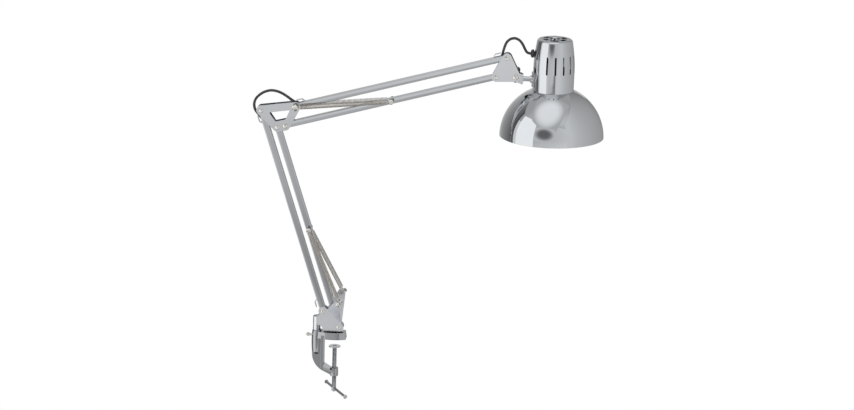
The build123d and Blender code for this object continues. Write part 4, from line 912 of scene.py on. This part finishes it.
class LAMP_OT_stage(bpy.types.Operator):
    """Sets the camera, the floor, the lights, the world and the cards that the chrome shows"""

    bl_idname = "lamp.stage"
    bl_label = "Studio"

    FLOOR_SIZE = 16.0
    AMBIENT = 0.55                          # the world's light where it isn't seen
    CARD_CENTRE = Vector((0.35, 0, 0.45))   # point that the cards stand round
    CARD_WIDEST = math.radians(65.0)        # most of a card's half turn
    # Sides in degrees from the camera's direction, lean, distance, edges and brightness
    CARDS = {
        "card_left": dict(
            turn=(-178, -94), far=1.6, edges=(-1.6, 1.7), level=0.42, slope=-0.66,
        ),
        "card_bright_left": dict(turn=(-86, -42), far=2.0, edges=(-1.6, 1.6), level=1.46),
        "card_dark_front": dict(
            turn=(-43, 5), far=2.0, edges=(-0.05, 1.1), level=0.82, glow=-0.62,
        ),
        "card_front": dict(
            turn=(-44, 32), far=2.6, edges=(-1.6, 1.7), level=0.80, slope=0.24, band=(-0.2, 0.1),
        ),
        "card_low": dict(
            turn=(-41, 8), far=2.4, edges=(-1.6, -0.6), level=0.62, slope=-0.75,
            band=(0.10, -0.20),
        ),
        "card_right": dict(
            turn=(24, 170), far=1.5, edges=(-1.6, 2.4), level=0.66, slope=-0.80, top=0.92,
        ),
        "card_back": dict(turn=(160, 200), far=2.2, edges=(-1.6, 0.05), level=0.42),
        "card_back_high": dict(turn=(160, 200), far=2.2, edges=(0.25, 2.8), level=0.48),
        "card_above": dict(
            turn=(-52, 12), lean=66, far=2.0, edges=(-1.75, 1.65), level=0.67, glow=0.60,
        ),
        "card_sky": dict(
            turn=(-65, 65), lean=90, far=3.6, edges=(-7.0, 7.0), level=0.57, band=(-0.24, 0.29),
        ),
        "card_under": dict(turn=(-32, 32), lean=-90, far=1.55, edges=(-0.9, 0.9), level=0.15),
    }
    # Place, size and power
    LIGHTS = {
        "key_light": ((-1.9, -2.6, 2.6), 1.6, 60.0),
        "fill_light": ((2.8, -1.8, 1.6), 1.8, 30.0),
        "top_light": ((0.2, 0.6, 3.2), 2.2, 40.0),
    }

    def execute(self, context):
        scene = context.scene
        studio = scene.lamp_studio
        scene.view_settings.view_transform = "Standard"
        self.camera(scene, studio)
        self.floor(studio)
        self.world(scene)
        for name, card in self.CARDS.items():
            self.card(studio, name, **card)
        for name, light in self.LIGHTS.items():
            self.light(studio, name, *light)
        return {"FINISHED"}

    @staticmethod
    def camera(scene, studio):
        """The photograph's viewing angle."""
        a, e, r = studio.azimuth, studio.elevation, studio.roll
        back = Vector((math.sin(a) * math.cos(e), -math.cos(a) * math.cos(e), math.sin(e)))
        right = Vector((math.cos(a), math.sin(a), 0))
        up = back.cross(right)
        level, lean = math.cos(r), math.sin(r)
        axes = (right * level + up * lean, up * level - right * lean, back)
        camera = bpy.data.objects.new("studio_camera", bpy.data.cameras.new("studio_camera"))
        camera.data.lens = studio.lens
        camera.data.sensor_width = 36.0
        camera.data.clip_end = 100.0
        place = Vector(studio.aim) + back * studio.distance
        camera.matrix_world = Matrix.Translation(place) @ Matrix(axes).transposed().to_4x4()
        scene.collection.objects.link(camera)
        scene.camera = camera

    def floor(self, studio):
        """A level floor below the lamp."""
        bpy.ops.object.select_all(action="DESELECT")
        bpy.ops.mesh.primitive_plane_add(size=self.FLOOR_SIZE, location=(0, 0, studio.floor))
        floor = bpy.context.object
        floor.name = "studio_floor"
        floor.data.materials.append(white_floor())

    def world(self, scene):
        """White where it is seen, and an even grey light elsewhere."""
        world = bpy.data.worlds.new("studio_world")
        world.use_nodes = True
        scene.world = world
        tree = world.node_tree
        tree.nodes.clear()
        level = seen_ray(tree) * (1.0 - self.AMBIENT) + self.AMBIENT
        back = tree.nodes.new("ShaderNodeBackground")
        tree.links.new(level.socket, back.inputs["Strength"])
        back.inputs["Color"].default_value = WHITE
        output = tree.nodes.new("ShaderNodeOutputWorld")
        tree.links.new(back.outputs[0], output.inputs["Surface"])

    def card(self, studio, name, turn, far, edges, lean=0, **brightness):
        """A card that only reflections show, turned from the camera's direction round the lamp."""
        first, last = (math.radians(side) for side in turn)
        heading = studio.azimuth + (first + last) / 2
        rise = math.radians(lean)
        out = Vector((math.sin(heading), -math.cos(heading), 0))
        up = Vector((0, 0, 1))
        place = self.CARD_CENTRE + (out * math.cos(rise) + up * math.sin(rise)) * far
        place += (up * math.cos(rise) - out * math.sin(rise)) * sum(edges) / 2
        bpy.ops.object.select_all(action="DESELECT")
        bpy.ops.mesh.primitive_plane_add(
            size=1.0, location=place, rotation=(math.pi / 2 - rise, 0, heading)
        )
        card = bpy.context.object
        card.name = name
        half = min((last - first) / 2, self.CARD_WIDEST)
        card.scale = (2 * far * math.tan(half), edges[1] - edges[0], 1)
        card.data.materials.append(card_finish(name, **brightness))
        for rays in ("camera", "diffuse", "shadow", "transmission"):
            setattr(card, "visible_" + rays, False)

    @staticmethod
    def light(studio, name, place, size, power):
        """A soft square light aimed at the lamp."""
        data = bpy.data.lights.new(name, "AREA")
        data.size = size
        data.energy = power
        lamp = bpy.data.objects.new(name, data)
        lamp.location = place
        lamp.visible_glossy = False
        way = Vector(studio.aim) - Vector(place)
        lamp.rotation_euler = way.to_track_quat("-Z", "Y").to_euler()
        bpy.context.scene.collection.objects.link(lamp)


class LAMP_PT_panel(bpy.types.Panel):
    """Lists the lamp's steps and sizes"""

    bl_idname = "LAMP_PT_panel"
    bl_label = "Clamp lamp"
    bl_space_type = "VIEW_3D"
    bl_region_type = "UI"
    bl_category = "Lamp"

    def draw(self, context):
        for step in STEPS:
            self.layout.operator(step.bl_idname)
        scene = context.scene
        for group in (scene.lamp_sizes, scene.lamp_finishes, scene.lamp_studio):
            column = self.layout.column()
            for name in type(group).__annotations__:
                column.prop(group, name)


STEPS = (LAMP_OT_stage, LAMP_OT_metalwork, LAMP_OT_screw, LAMP_OT_cords, LAMP_OT_springs)
CLASSES = (LampSizes, LampFinishes, LampStudio, *STEPS, LAMP_PT_panel)
GROUPS = {"lamp_sizes": LampSizes, "lamp_finishes": LampFinishes, "lamp_studio": LampStudio}


def register():
    for kind in CLASSES:
        bpy.utils.register_class(kind)
    for name, group in GROUPS.items():
        setattr(bpy.types.Scene, name, PointerProperty(type=group))


def unregister():
    for name in GROUPS:
        delattr(bpy.types.Scene, name)
    for kind in reversed(CLASSES):
        bpy.utils.unregister_class(kind)


def main():
    """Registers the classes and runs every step."""
    register()
    bpy.ops.lamp.stage()
    bpy.ops.lamp.metalwork()
    bpy.ops.lamp.screw()
    bpy.ops.lamp.cords()
    bpy.ops.lamp.springs()


if __name__ == "__main__":
    main()
